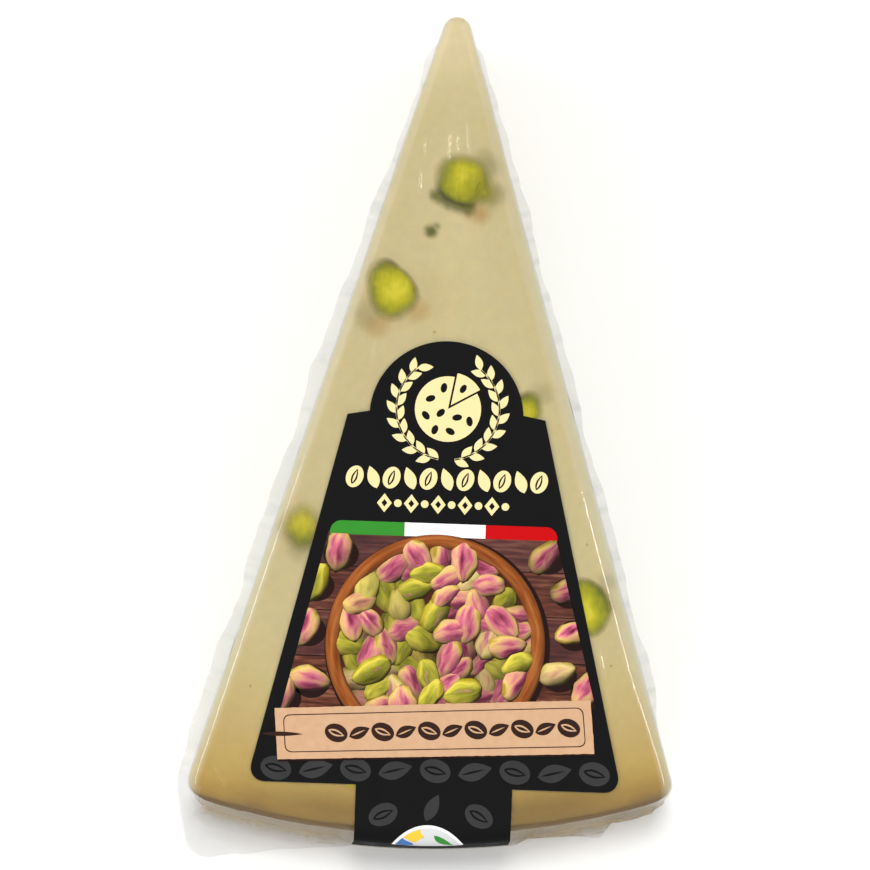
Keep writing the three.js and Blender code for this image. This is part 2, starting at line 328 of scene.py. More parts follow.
# %% The camera
VIEW_AZIMUTH = math.radians(-1.743)
VIEW_ELEVATION = math.radians(81.774)
VIEW_ROLL = math.radians(3.719)
VIEW_DISTANCE = 600
VIEW_TARGET = np.array([-1.437, -79.66, THICKNESS])
SENSOR_WIDTH = 36.0
FOCAL_LENGTH_IN_PHOTO_WIDTHS = 4.089  # 3557 pixels on 870

flat = math.cos(VIEW_ELEVATION)  # the level share of the line of sight
back = Vector((math.sin(VIEW_AZIMUTH) * flat, -math.cos(VIEW_AZIMUTH) * flat, math.sin(VIEW_ELEVATION)))
level = Vector((math.cos(VIEW_AZIMUTH), math.sin(VIEW_AZIMUTH), 0))
rise = back.cross(level)
camera_right = level * math.cos(VIEW_ROLL) + rise * math.sin(VIEW_ROLL)
camera_up = rise * math.cos(VIEW_ROLL) - level * math.sin(VIEW_ROLL)

camera_data = bpy.data.cameras.new("camera")
camera_data.sensor_width = SENSOR_WIDTH
camera_data.lens = FOCAL_LENGTH_IN_PHOTO_WIDTHS * SENSOR_WIDTH
camera_data.clip_start = 0.01
camera_data.clip_end = 20
camera = linked("camera", camera_data)
camera.matrix_world = Matrix.Translation(
    Vector(to_frame(VIEW_TARGET)) + back * VIEW_DISTANCE * MM
) @ Matrix((camera_right, camera_up, back)).transposed().to_4x4()
SCENE.camera = camera
print("camera at, metres:", [round(v, 3) for v in camera.location])

# %% [markdown]
# ## Nodes and colours
# Materials and geometry trees are both node graphs, so one small helper adds a node of any kind with its
# settings and its inputs. Colours are written as the sRGB hex values that an eye picks from a picture, and
# one function turns them into the linear values that the renderer works in.

# %% Node helpers


def linear(hex_colour):
    """An sRGB colour such as D8C598 as linear red, green, blue and an alpha of 1."""
    channels = [int(hex_colour[i : i + 2], 16) / 255 for i in (0, 2, 4)]
    return (*[c / 12.92 if c <= 0.04045 else ((c + 0.055) / 1.055) ** 2.4 for c in channels], 1.0)


def output_of(source):
    """A socket as it is, or the first output in use of a node."""
    if isinstance(source, bpy.types.NodeSocket):
        return source
    return next(socket for socket in source.outputs if socket.enabled)


def add(tree, kind, inputs=None, stops=(), **settings):
    """Adds a node. Its kind is its class name without ShaderNode, GeometryNode or FunctionNode in front.

    Its inputs, by name or number, take a value, or a node or socket to link from. A colour ramp also takes
    its stops, each a place from 0 to 1 and an sRGB colour.
    """
    families = ("GeometryNode", "ShaderNode", "FunctionNode") if tree.type == "GEOMETRY" else ("ShaderNode",)
    node = tree.nodes.new(next(family + kind for family in families if hasattr(bpy.types, family + kind)))
    while stops and len(node.color_ramp.elements) < len(stops):
        node.color_ramp.elements.new(0.5)
    for number, (place, colour) in enumerate(stops):
        node.color_ramp.elements[number].position = place
        node.color_ramp.elements[number].color = linear(colour)
    for name, value in settings.items():
        setattr(node, name, value)
    usable = [socket for socket in node.inputs if socket.enabled]
    for key, value in (inputs or {}).items():
        socket = usable[key] if isinstance(key, int) else next(s for s in usable if s.name == key)
        if isinstance(value, (bpy.types.Node, bpy.types.NodeSocket)):
            tree.links.new(output_of(value), socket)
        else:
            socket.default_value = value
    return node


def new_material(name):
    """An empty material and its tree."""
    material = bpy.data.materials.new(name)
    material.use_nodes = True
    material.node_tree.nodes.clear()
    return material, material.node_tree


def finished(material, surface):
    """Gives a material its surface, and gives the material back."""
    add(material.node_tree, "OutputMaterial", {"Surface": surface})
    return material


def per_mm(size):
    """The texture scale that gives features of a size in millimetres on Object coordinates."""
    return 1 / (size * MM)


def mottled(tree, place, patch, detail, colour, other):
    """A colour that wanders into another in patches of a size in millimetres."""
    clouds = add(tree, "TexNoise", {"Vector": place, "Scale": per_mm(patch), "Detail": detail})
    ends = {"A": linear(colour), "B": linear(other)}
    return add(tree, "Mix", {"Factor": clouds, **ends}, data_type="RGBA")


# %% [markdown]
# ## Light
# The photograph is a cut-out on white with soft, even light: a bright surrounding, one large lamp almost
# overhead, which gives the faint shadow under the rind, a weaker one in front that opens that shadow, and a
# narrow lamp halfway up on each side. Only the narrow ones are seen in the film, as thin bright lines along
# its drawn edges. The two large lamps stay out of reflections, as flagged studio lamps do.

# %% Studio
WORLD_FILL = 0.5  # how bright the surrounding is as light
WORLD_IN_GLOSS = 0.22  # and how bright it is in the film's gloss, from above
WORLD_BESIDE = 1.3  # and from the sides


def strip_lamp(name, azimuth, elevation, distance, size, power, seen_in_gloss):
    """A rectangular lamp that faces the pack. Azimuth 0 is on the +X side, and 90 on the tip's."""
    turn, tilt = math.radians(azimuth), math.radians(elevation)
    direction = Vector((math.cos(turn) * math.cos(tilt), math.sin(turn) * math.cos(tilt), math.sin(tilt)))
    data = bpy.data.lights.new(name, "AREA")
    data.shape = "RECTANGLE"
    data.size, data.size_y = size
    data.energy = power
    lamp = linked(name, data)
    lamp.location = direction * distance
    lamp.rotation_euler = direction.to_track_quat("Z", "Y").to_euler()
    lamp.visible_camera = False
    lamp.visible_glossy = seen_in_gloss


world = bpy.data.worlds.new("studio")
SCENE.world = world
world.use_nodes = True
sky = world.node_tree
sky.nodes.clear()
light_path = add(sky, "LightPath")
fill = add(sky, "Mix", {"Factor": light_path.outputs["Is Camera Ray"], "A": WORLD_FILL, "B": 1.0})
direction = add(sky, "TexCoord").outputs["Generated"]
split = add(sky, "SeparateXYZ", {"Vector": direction})
sideways = add(sky, "Math", {0: split.outputs["X"]}, operation="ABSOLUTE")
brightness = {"To Min": WORLD_IN_GLOSS, "To Max": WORLD_BESIDE}
limits = {"Value": sideways, "From Min": 0.3, "From Max": 0.75, **brightness}
soft_sides = add(sky, "MapRange", limits, interpolation_type="SMOOTHSTEP")
strength = add(sky, "Mix", {"Factor": light_path.outputs["Is Glossy Ray"], "A": fill, "B": soft_sides})
surround = add(sky, "Background", {"Color": (1, 1, 1, 1), "Strength": strength})
add(sky, "OutputWorld", {"Surface": surround})

strip_lamp("overhead_lamp", 92, 84, 1.5, (0.26, 0.26), 9.7, False)
strip_lamp("front_lamp", -90, 22, 1.5, (0.7, 0.35), 5.8, False)
strip_lamp("left_strip", 180, 38, 1.3, (0.9, 0.13), 3.3, True)
strip_lamp("right_strip", 11, 44, 1.3, (0.42, 0.05), 1.8, True)
SCENE.view_settings.view_transform = "Standard"
SCENE.view_settings.look = "None"

floor_material, tree = new_material("matt_white_board")
grain = add(tree, "TexNoise", {"Scale": per_mm(40), "Detail": 2.0})
tone = add(tree, "Mix", {"Factor": grain, "A": linear("FAFAF9"), "B": linear("FDFDFC")}, data_type="RGBA")
board = add(tree, "BsdfPrincipled", {"Base Color": tone, "Roughness": 0.9, "Specular IOR Level": 0.1})
FLOOR_HALF = 2.0
FLOOR_DROP = 0.00002  # a hair below the pack's film
corners = [(x * FLOOR_HALF, y * FLOOR_HALF, -FLOOR_DROP) for x, y in ((-1, -1), (1, -1), (1, 1), (-1, 1))]
floor = new_object("floor", corners, [(0, 1, 2, 3)], [finished(floor_material, board)], smooth=False)
floor.visible_glossy = False  # the board is not mirrored in the steep walls

# %% [markdown]
# ## The paste
# Young pecorino is ivory and slightly translucent: light enters it and comes out a few millimetres away, so
# its tone is soft and edges glow. Subsurface scattering gives that. It isn't one colour: it is mottled, a
# touch greener or pinker from patch to patch, and it turns golden and then brown in the last millimetres
# before the rind. Round the label's tab those last millimetres are darker still, and that brown is painted
# shade. The pale grey band along the drawn top edges is a painted reflection of the film. The depth below
# the rind and the cut sides is stored in the mesh, in millimetres, so the colours can follow the cheese's
# own form.

# %% Finish of the paste


def pecorino_paste():
    """Semi-hard sheep's cheese, cut smooth: soft ivory with a golden to brown zone under the rind."""
    material, tree = new_material("pecorino_paste")
    place = add(tree, "TexCoord").outputs["Object"]
    long_place = add(tree, "Mapping", {"Vector": place, "Scale": (1, 0.45, 1)})
    clouds = add(tree, "TexNoise", {"Vector": long_place, "Scale": per_mm(9), "Detail": 2.0})
    patches = add(tree, "TexNoise", {"Vector": long_place, "Scale": per_mm(17), "Detail": 1.0})
    curd = add(tree, "TexNoise", {"Vector": place, "Scale": per_mm(1.6), "Detail": 3.0})
    share = {
        name: add(tree, "Attribute", attribute_name=name).outputs["Fac"]
        for name in ("rind_depth", "side_depth", "painted_rind_shade_and_reflection", "rind_wall", "pale_tip", "stain", "shade")
    }
    wander = add(tree, "Math", {0: clouds, 1: 4.0, 2: share["rind_depth"]}, operation="MULTIPLY_ADD")
    ranges = {  # what is read, the two ends of its range, and the share at each end
        "cloud": (clouds, 0.35, 0.65, 0.0, 1.0),
        "patch": (patches, 0.4, 0.6, 0.0, 1.0),
        "flank": (share["side_depth"], 5.0, 15.0, 1.0, 0.0),
        "inward": (wander, 2.0, 36.0, 0.0, 1.0),
        "aged": (wander, 22.0, 36.0, 1.0, 0.0),
        # painted reflection: the film's pale grey gloss over the drawn top edges, in the paste's colour
        "painted_edge_reflection": (share["side_depth"], 0.4, 2.4, 0.75, 0.0),
        "speckle": (curd, 0.3, 0.7, 0.97, 1.03),
    }
    for name, (value, *ends) in ranges.items():
        limits = dict(zip(("From Min", "From Max", "To Min", "To Max"), ends))
        share[name] = add(tree, "MapRange", {"Value": value, **limits})
    golden = [  # from the rind inwards
        (0.0, "866E44"),
        (0.05, "A5884A"),
        (0.12, "BC9F59"),
        (0.24, "C2A968"),
        (0.38, "C5AF76"),
        (0.58, "C9B882"),
        (0.82, "CBBC8B"),
        (1.0, "CEC092"),
    ]
    layers = {  # each goes over the ones before it, by its share
        "cloud": linear("CCC193"),
        "patch": linear("CEBB93"),
        "flank": linear("CABD90"),
        "aged": add(tree, "ValToRGB", {"Fac": share["inward"]}, golden),
        # painted shade round the label's tab, in the last millimetres before the rind
        "painted_rind_shade_and_reflection": linear("8C7442"),
        "rind_wall": linear("6A4F24"),
        # painted reflection of the film along the top edges
        "painted_edge_reflection": linear("CFCBAC"),
        "pale_tip": linear("E6D8B2"),
        "stain": linear("B39258"),
        "shade": linear("6C6A33"),
    }
    tone = linear("D6C79C")
    for name, colour in layers.items():
        tone = add(tree, "Mix", {"Factor": share[name], "A": tone, "B": colour}, data_type="RGBA")
    tinted = add(tree, "VectorMath", {0: tone, 1: share["speckle"]}, operation="MULTIPLY")
    bump = add(tree, "Bump", {"Height": curd, "Strength": 0.15, "Distance": 0.1 * MM})
    look = {
        "Base Color": tinted,
        "Roughness": 0.55,
        "IOR": 1.45,
        "Specular IOR Level": 0.3,
        "Subsurface Weight": 1.0,
        "Subsurface Radius": (1.0, 0.72, 0.4),
        "Subsurface Scale": 1.7 * MM,
        "Normal": bump,
    }
    return finished(material, add(tree, "BsdfPrincipled", look))


# %% [markdown]
# ## The cheese
# One closed body, a hair inside the film. Its profile is swept round the outline as rings, because that
# gives clean, even edges, and only the two flat faces are filled with a triangular grid. The top has a few
# tiny openings, as pressed curd has, and the rind's wall is a little rough and pitted.

# %% The cheese's form
FILM_GAP = 0.15
KNIFE_EDGE = 0.6  # radius of the lower edges
EYE_DEPTH = 0.15
TOP_GRID, BASE_GRID = 0.75, 3.0  # spacing of the points in the flat faces
SHADE_GRID = 0.26  # and of those under the dark skins
EYES = [  # small openings in the top face: x, y, radius
    (-2.1, -62.0, 0.28),
    (20.3, -71.0, 0.4),
    (24.8, -97.4, 0.28),
    (29.3, -117.6, 0.22),
    (-30.8, -123.0, 0.22),
]


def depth_in_rind(points):
    """How far places are inside the wheel's circle."""
    return WHEEL_RADIUS - np.linalg.norm(points[:, :2] - WHEEL_CENTRE, axis=1)


def depth_in_sides(points):
    """How far places are inside the nearer cut side."""
    return np.minimum(-(points[:, :2] @ LEFT), -(points[:, :2] @ RIGHT))


def wall_bulge(normals, height):
    """How far the film stands out of the outline at a share of the wall's height."""
    return SIDE_BULGE * normals[:, 0] ** 2 * math.sin(math.pi * height)


def ring_at(out, z):
    """A ring of points round the wedge, out from its outline and at a height."""
    return at_height(OUTLINE + NORMALS * np.reshape(out, (-1, 1)), z)


def cheese_rings():
    """The cheese's profile from the top face down to its underside."""
    radius = edge_radius(OUTLINE, NORMALS) - FILM_GAP
    top, foot = THICKNESS - FILM_GAP, FILM_GAP + KNIFE_EDGE
    rings = []
    for turn in np.linspace(0, math.pi / 2, 9):
        rings.append(ring_at(-FILM_GAP - radius * (1 - math.sin(turn)), top - radius * (1 - math.cos(turn))))
    for share in np.linspace(1, 0, 14)[1:-1]:
        rings.append(ring_at(wall_bulge(NORMALS, share) - FILM_GAP, foot + share * (top - radius - foot)))
    for turn in np.linspace(0, math.pi / 2, 5):
        out = -FILM_GAP - KNIFE_EDGE * (1 - math.cos(turn))
        rings.append(ring_at(out, FILM_GAP + KNIFE_EDGE * (1 - math.sin(turn))))
    return rings


def top_points(rings):
    """Points inside the top face, closer together at the small openings and under the dark skins."""
    eye_points = [
        (x + share * radius * math.cos(turn), y + share * radius * math.sin(turn))
        for x, y, radius in EYES
        for share in (0, 0.5, 0.85, 1.2, 1.7)
        for turn in np.linspace(0, 2 * math.pi, 10, endpoint=False)[: 1 if share == 0 else 10]
    ]
    grid = grid_inside(rings[0], TOP_GRID, 0.5)
    dark = np.array([(x, y) for x, y, radius, strength in SHADES if strength > 0.5])
    across, up = np.arange(-7, 7, SHADE_GRID), np.arange(-48, -34, SHADE_GRID)
    fine = np.stack(np.meshgrid(across, up), axis=2).reshape(-1, 2)
    clear = (nearest(grid, np.array(EYES)[:, :2]) > 1.0) & (nearest(grid, dark) > 2.4)
    return np.concatenate([grid[clear], fine[nearest(fine, dark) < 2.2], eye_points])


def make_cheese(material):
    """The cheese as one closed body, with the values that its finish reads."""
    rings = cheese_rings()
    inner = top_points(rings)
    distance = np.array(
        [min(math.hypot(px - x, py - y) / radius for x, y, radius in EYES) for px, py in inner]
    )
    inner_z = THICKNESS - FILM_GAP - EYE_DEPTH * (1 - smoothstep(distance, 0.4, 1.2))
    vertices, faces = shell(rings, inner, inner_z, grid_inside(rings[-1], BASE_GRID, 1.5), FILM_GAP)

    wall = np.clip(1 - np.abs(depth_in_rind(vertices)) / 1.2, 0, 1)
    rough = 0.1 * ripple(vertices, 2.4, 1) + 0.06 * ripple(vertices, 0.9, 2) - 0.08
    outward = vertices[:, :2] - WHEEL_CENTRE
    outward /= np.linalg.norm(outward, axis=1)[:, None]
    vertices[:, :2] += outward * (wall * rough)[:, None]

    across, up, height = vertices.T
    in_rind = depth_in_rind(vertices)
    middle = 1 - smoothstep(np.abs(across - 2), 18, 38)
    on_wall = smoothstep(THICKNESS - height, 1.3, 2.3) * (1 - smoothstep(in_rind, 0.6, 1.6))
    around_eyes = np.zeros(len(vertices))
    first = len(rings) * len(OUTLINE)
    around_eyes[first : first + len(inner)] = 0.55 * (1 - smoothstep(distance, 0.3, 1.7))
    stored = {
        "rind_depth": in_rind,
        # deeper towards the tip, which makes the painted edge reflection fainter and narrower there
        "side_depth": depth_in_sides(vertices) + 1.2 * smoothstep(up, -62, -30),
        "pale_tip": 0.55 * smoothstep(up, -26, -9),
        # painted shade: darker brown near the rind, round the label's tab
        "painted_rind_shade_and_reflection": 0.8 * middle * (1 - smoothstep(in_rind, 2.0, 8.0)),
        "rind_wall": 0.9 * on_wall,
        "stain": np.maximum(around_eyes, spots(vertices, STAINS)),
        "shade": spots(vertices, SHADES),
    }
    piece = new_object("cheese", to_frame(vertices), faces, [material])
    for name, values in stored.items():
        set_attribute(piece, name, values)
    return piece


def spots(vertices, places):
    """Soft, uneven spots on the top face, each x, y, radius and strength."""
    total = np.zeros(len(vertices))
    uneven = 0.22 * ripple(vertices, 3.6, 4) + 0.1 * ripple(vertices, 0.7, 5)
    for x, y, radius, strength in places:
        away = np.hypot(vertices[:, 0] - x, vertices[:, 1] - y) / radius
        total = np.maximum(total, strength * (1 - smoothstep(away + uneven, 0.2, 1.15)))
    return total * (vertices[:, 2] > THICKNESS / 2)


SHADES = [  # where a kernel's dark skin shows through the paste
    (5.8, -33.0, 3.4, 0.45),
    *((x, -39.6 - 0.37 * x + 0.03 * x**2, 1.7, 0.9) for x in np.linspace(-2.6, 2.8, 12)),
    (7.4, -37.6, 2.8, 0.3),
    (-3.3, -44.7, 1.5, 1.0),
    (-2.4, -43.8, 1.0, 0.6),
    (-13.9, -59.4, 2.8, 0.3),
    (-23.6, -99.6, 3.0, 0.35),
    (28.6, -103.4, 2.0, 0.3),
    (16.4, -72.0, 2.6, 0.3),
]
STAINS = [  # browner places beside the kernels
    (-5.2, -58.6, 3.2, 0.6),
    (5.1, -41.4, 2.2, 0.8),
    (3.4, -40.8, 2.2, 0.8),
    (-11.6, -61.0, 3.0, 0.6),
    (-2.5, -57.0, 8.0, 0.16),
    (-9.7, -56.0, 6.9, 0.35),
    (2.2, -36.4, 5.9, 0.3),
    (25.0, -108.4, 6.4, 0.25),
    (-23.6, -95.8, 5.5, 0.25),
]

cheese = make_cheese(pecorino_paste())
print("cheese triangles:", triangle_count(cheese))

# %% [markdown]
# ## Pistachio kernels in the cheese
# The knife cut through whole kernels, so each shows as an oval face with a bright yellow-green middle, a
# deeper green rim and, here and there, a crescent of dark skin. The paste smears a little over the cut, so
# the rims are soft. Each kernel is its own low, closed lens, let into the paste: real pieces catch the light
# as the photo's do, where colour painted on the cheese would look flat.

# %% Finish of the kernels
STORED_ON_KERNELS = ("heart", "skin", "smear", "cover")


def pistachio_kernel():
    """A fresh, oily nut, cut smooth: saturated green with a bright heart and dark papery skin."""
    material, tree = new_material("pistachio_kernel")
    place = add(tree, "TexCoord").outputs["Object"]
    long_place = add(tree, "Mapping", {"Vector": place, "Scale": (1.6, 0.5, 1)})
    streaks = add(tree, "TexNoise", {"Vector": long_place, "Scale": per_mm(1.1), "Detail": 3.0})
    heart, skin, smear, cover = (
        add(tree, "Attribute", attribute_name=name).outputs["Fac"] for name in STORED_ON_KERNELS
    )
    blotches = add(tree, "TexNoise", {"Vector": place, "Scale": per_mm(2.6), "Detail": 3.0})
    mottle = add(tree, "Math", {0: blotches, 1: 0.9, 2: heart}, operation="MULTIPLY_ADD")
    uneven = add(tree, "Math", {0: streaks, 1: 0.45, 2: mottle}, operation="MULTIPLY_ADD")
    span = add(tree, "MapRange", {"Value": uneven, "From Min": 0.45, "From Max": 1.5})
    stops = [(0.0, "636B12"), (0.25, "878B14"), (0.55, "ACA714"), (0.8, "C0B818"), (1.0, "D4C930")]
    tone = add(tree, "ValToRGB", {"Fac": span}, stops)
    for share, colour in ((smear, "A9A448"), (skin, "4F4A20")):
        tone = add(tree, "Mix", {"Factor": share, "A": tone, "B": linear(colour)}, data_type="RGBA")
    look = {
        "Base Color": tone,
        "Roughness": 0.4,
        "IOR": 1.47,
        "Subsurface Weight": 0.35,
        "Subsurface Radius": (0.9, 1.0, 0.3),
        "Subsurface Scale": 0.8 * MM,
    }
    shader = add(tree, "BsdfPrincipled", look)
    clear = add(tree, "BsdfTransparent")
    return finished(material, add(tree, "MixShader", {0: cover, 1: clear, 2: shader}))


# %% Places of the kernels
# Each kernel: centre on its face, size along and across, turn in degrees, the direction, width and darkness
# of its crescent of skin, and how softly the paste covers its rim. Where it differs from the rest, also the
# share of the way out at which the skin begins, the place of its bright heart and how bright that is.
TOP, SIDE_LEFT, SIDE_RIGHT, UNDERSIDE = "top", "left", "right", "base"
KERNELS = [
    (TOP, (2.1, -35.8), (12.0, 9.8), -30, (-118, 60, 0.95), 0.45, {"skin_from": 0.6}),
    (TOP, (5.6, -37.6), (8.4, 6.8), -50, (-60, 60, 0.0), 1.0, {"bright": 0.3}),
    (TOP, (-9.9, -55.0), (12.2, 9.8), 118, (50, 70, 0.7), 0.4, {"heart": (0.9, 0.2), "bright": 0.95}),
    (TOP, (24.2, -108.3), (11.4, 10.8), 80, (35, 55, 0.55), 0.26, {"bright": 1.4}),
    (TOP, (13.6, -75.0), (8.4, 6.6), 60, (90, 40, 0.3), 0.5),
    (TOP, (-23.2, -96.0), (9.8, 8.4), 92, (-80, 40, 0.4), 0.72),
    (TOP, (-13.2, -138.6), (4.4, 2.4), 20, (0, 30, 0.0), 0.9),
    (TOP, (-23.6, -117.6), (5.4, 3.2), 80, (0, 30, 0.0), 0.8),
    (SIDE_LEFT, (46, 17), (11, 7.4), 25, (120, 60, 0.7), 0.3),
    (SIDE_LEFT, (88, 11), (10.4, 8.2), -35, (-60, 50, 0.6), 0.3),
    (SIDE_LEFT, (121, 19), (9.2, 6.4), 70, (10, 60, 0.6), 0.5),
    (SIDE_LEFT, (68, 23), (3.0, 2.2), 10, (0, 180, 0.8), 0.8),
    (SIDE_RIGHT, (38, 12), (9.6, 7.2), -15, (150, 50, 0.7), 0.3),
    (SIDE_RIGHT, (77, 18), (11.2, 8.0), 40, (-30, 60, 0.6), 0.3),
    (SIDE_RIGHT, (104, 9), (7.0, 5.4), -60, (80, 40, 0.5), 0.6),
    (SIDE_RIGHT, (126, 18), (10.0, 7.0), 15, (200, 50, 0.6), 0.35),
    (UNDERSIDE, (-4, -70), (11, 8), 30, (60, 60, 0.6), 0.3),
    (UNDERSIDE, (16, -110), (10, 8), -50, (0, 60, 0.6), 0.3),
    (UNDERSIDE, (-22, -118), (9, 7), 80, (90, 60, 0.6), 0.4),
]
KERNEL_RISE, KERNEL_DEPTH = 0.07, 0.6  # how far each lens stands out of the paste and reaches into it


def face_axes(face, first, second):
    """A place on a face of the cheese, and the directions along, across and out of that face."""
    if face in (TOP, UNDERSIDE):
        up = 1 if face == TOP else -1
        z = THICKNESS - FILM_GAP if up == 1 else FILM_GAP
        return np.array([first, second, z]), np.array([up, 0, 0]), np.array([0, 1, 0]), np.array([0, 0, up])
    side = LEFT if face == SIDE_LEFT else RIGHT
    down_side = np.array([math.copysign(math.sin(HALF_ANGLE), side[0]), -math.cos(HALF_ANGLE)])
    share = (second - KNIFE_EDGE) / (THICKNESS - EDGE_RADIUS - KNIFE_EDGE)
    bulge = SIDE_BULGE * side[0] ** 2 * math.sin(math.pi * share) - FILM_GAP
    plan = down_side * first + side * bulge
    along = np.array([*down_side, 0]) * math.copysign(1, side[0])
    out = np.array([*side, 0])
    across = np.cross(out, along)
    return np.array([*plan, second]), along, across, out


def kernel_lens(kernel, number):
    """One kernel: its points and faces, and the values that its finish reads."""
    face, at, (length, width), degrees, (direction, spread, dark), soft, *more = kernel
    special = more[0] if more else {}
    centre, along, across, out = face_axes(face, *at)
    turn = math.radians(degrees)
    shares = np.array([0.12, 0.24, 0.36, 0.48, 0.6, 0.7, 0.78, 0.85, 0.91, 0.96, 1.0])
    around = np.linspace(0, 2 * math.pi, 48, endpoint=False)
    wave, fine = (
        np.array([noise.noise(Vector((size * math.cos(a), size * math.sin(a), shift))) for a in around])
        for size, shift in ((1.3, number * 3.7), (4, number * 5.1))
    )
    reach = 1 + 0.12 * wave + 0.035 * fine
    share, angle = np.meshgrid(shares, around, indexing="ij")
    u = share * reach * np.cos(angle) * length / 2
    v = share * reach * np.sin(angle) * width / 2 * (1 - 0.12 * np.cos(angle))
    crown = KERNEL_RISE * (1 - share**4) - 0.05 * smoothstep(share, 0.9, 1.0)
    x = u * math.cos(turn) - v * math.sin(turn)
    y = u * math.sin(turn) + v * math.cos(turn)
    flat = [x.ravel(), y.ravel(), crown.ravel()]
    points = sum(np.outer(values, axis) for values, axis in zip(flat, (along, across, out))) + centre
    top, bottom = centre + out * KERNEL_RISE, centre - out * KERNEL_DEPTH
    points = np.concatenate([points, [top, bottom]])

    place_angle = np.arctan2(y, x)
    off = np.abs((place_angle - math.radians(direction) + math.pi) % (2 * math.pi) - math.pi)
    crescent = 1 - smoothstep(off, math.radians(spread * 0.5), math.radians(spread * 1.25))
    skin_from = special.get("skin_from", 0.62)
    skin = dark * crescent * smoothstep(share + 0.2 * wave + 0.06 * fine, skin_from, skin_from + 0.3)
    skin = np.maximum(skin, 0.2 * min(dark, 1) * smoothstep(share + 0.2 * fine, 0.7, 0.95))
    fade_start = 1 - soft * (1 - 0.6 * crescent * min(dark, 1))
    cover = 1 - smoothstep(share, fade_start - 0.1, 1.0)
    cover *= 1 - 0.45 * soft**2
    away = math.radians(direction + 180)
    aside = (0.1 * length * math.cos(away), 0.1 * width * math.sin(away))
    heart_x, heart_y = special.get("heart", aside)
    heart_place = np.hypot(x - heart_x, y - heart_y) / (0.5 * max(length, width))
    heart = special.get("bright", 0.85) * (1 - smoothstep(heart_place, 0.05, 0.85))
    smear = 0.75 * (1 - crescent) * smoothstep(share, 0.55, 1.0)
    stored = zip(STORED_ON_KERNELS, (heart, skin, smear, cover), (0.75, 0.0, 0.0, float(cover.max())))
    lens = (points, closed_tube(len(around), len(shares)))
    return lens, {name: [*values.ravel(), end, end] for name, values, end in stored}


def make_kernels(material):
    """All kernels in one mesh."""
    lenses, values = zip(*[kernel_lens(kernel, number) for number, kernel in enumerate(KERNELS)])
    points, faces = joined(lenses)
    piece = new_object("kernels", to_frame(points), faces, [material])
    for name in STORED_ON_KERNELS:
        set_attribute(piece, name, np.concatenate([stored[name] for stored in values]))
    return piece


kernels = make_kernels(pistachio_kernel())
print("kernels:", len(KERNELS))

# %% [markdown]
# ## The film
# Vacuum film is clear, glossy and thin. Where it lies on the cheese it adds only reflections, strongest at
# shallow angles, so it is a real skin over the paste: mostly transparent, with a sharp gloss. Where two
# films are sealed together round the foot they crinkle and turn faintly milky. A stored haze value follows
# that. Under the rind, where the film stands a little off the wall, the haze near its foot is tinted with
# the rind's brown: a painted reflection of the rind. The wrinkles themselves are geometry.

# %% Finish of the film


def clear_film():
    """Clear polyamide and polyethylene film, blown and drawn: high gloss, faint haze where it is sealed."""
    material, tree = new_material("clear_vacuum_film")
    facing = add(tree, "LayerWeight", {"Blend": 0.5}).outputs["Facing"]
    steep = add(tree, "Math", {0: facing, 1: 5.0}, operation="POWER")
    reflectance = add(tree, "Math", {0: steep, 1: 0.15, 2: 0.045}, operation="MULTIPLY_ADD")
    place = add(tree, "TexCoord").outputs["Object"]
    waves = add(tree, "TexNoise", {"Vector": place, "Scale": per_mm(2.5), "Detail": 2.0})
    bump = add(tree, "Bump", {"Height": waves, "Strength": 0.25, "Distance": 0.05 * MM})
    haze = add(tree, "Attribute", attribute_name="haze").outputs["Fac"]
    thickness = {"Value": waves, "From Min": 0.35, "From Max": 0.65, "To Min": 0.8, "To Max": 1.15}
    uneven = add(tree, "MapRange", thickness)
    haze_share = add(tree, "Math", {0: haze, 1: uneven}, operation="MULTIPLY")
    clear = add(tree, "BsdfTransparent", {"Color": (0.995, 0.994, 0.992, 1)})
    # painted reflection: the rind's brown tints the haze near the foot under the rind
    painted_rind_shade_and_reflection = add(tree, "Attribute", attribute_name="painted_rind_shade_and_reflection").outputs["Fac"]
    ends = {"A": linear("DEE1E7"), "B": linear("DECA9F")}
    cast = add(tree, "Mix", {"Factor": painted_rind_shade_and_reflection, **ends}, data_type="RGBA")
    milky = add(tree, "BsdfDiffuse", {"Color": cast})
    glow = add(tree, "BsdfTranslucent", {"Color": cast})
    sealed = add(tree, "MixShader", {0: 0.5, 1: milky, 2: glow})
    body = add(tree, "MixShader", {0: haze_share, 1: clear, 2: sealed})
    gloss = add(tree, "BsdfAnisotropic", {"Color": (1, 1, 1, 1), "Roughness": 0.055, "Normal": bump})
    return finished(material, add(tree, "MixShader", {0: reflectance, 1: body, 2: gloss}))


# %% The film's brim
FILM_FOOT = 0.03  # height of the film's underside
BRIM_THICKNESS = 0.5
BRIM_LEFT = 4.2
BRIM_RIGHT = 3.5
BRIM_BOTTOM = ((0, -147.2), -85.5)  # a straight trimmed edge: a place on it and the way it faces
BRIM_CORNER = ((-45, -139), 194)
BRIM_TIP = 2.8
BRIM_TUCKED = 1.0
BRIM_UNEVEN = 0.3
BRIM_LIFT = 1.2
FOOT_RADIUS = 1.6
FOOT_SHARE = 0.8
TENT = 1.9  # how far the film stands off the rind behind the label's stiff tab
TAB_BEND = 4.9  # the film's and the tab's softer bend there
RIND_TENT = 0.9  # how far it stands off the rest of the rind
PUCKER = 0.22  # depth of the puckers round the foot
EDGE_RINGS, WALL_RINGS = 12, 13  # rings of points down the top edge and the wall


def facing_edge(place, facing):
    """A straight trimmed edge as its outward normal and its distance from the apex."""
    normal = np.array([math.cos(math.radians(facing)), math.sin(math.radians(facing))])
    return normal, normal @ np.array(place)


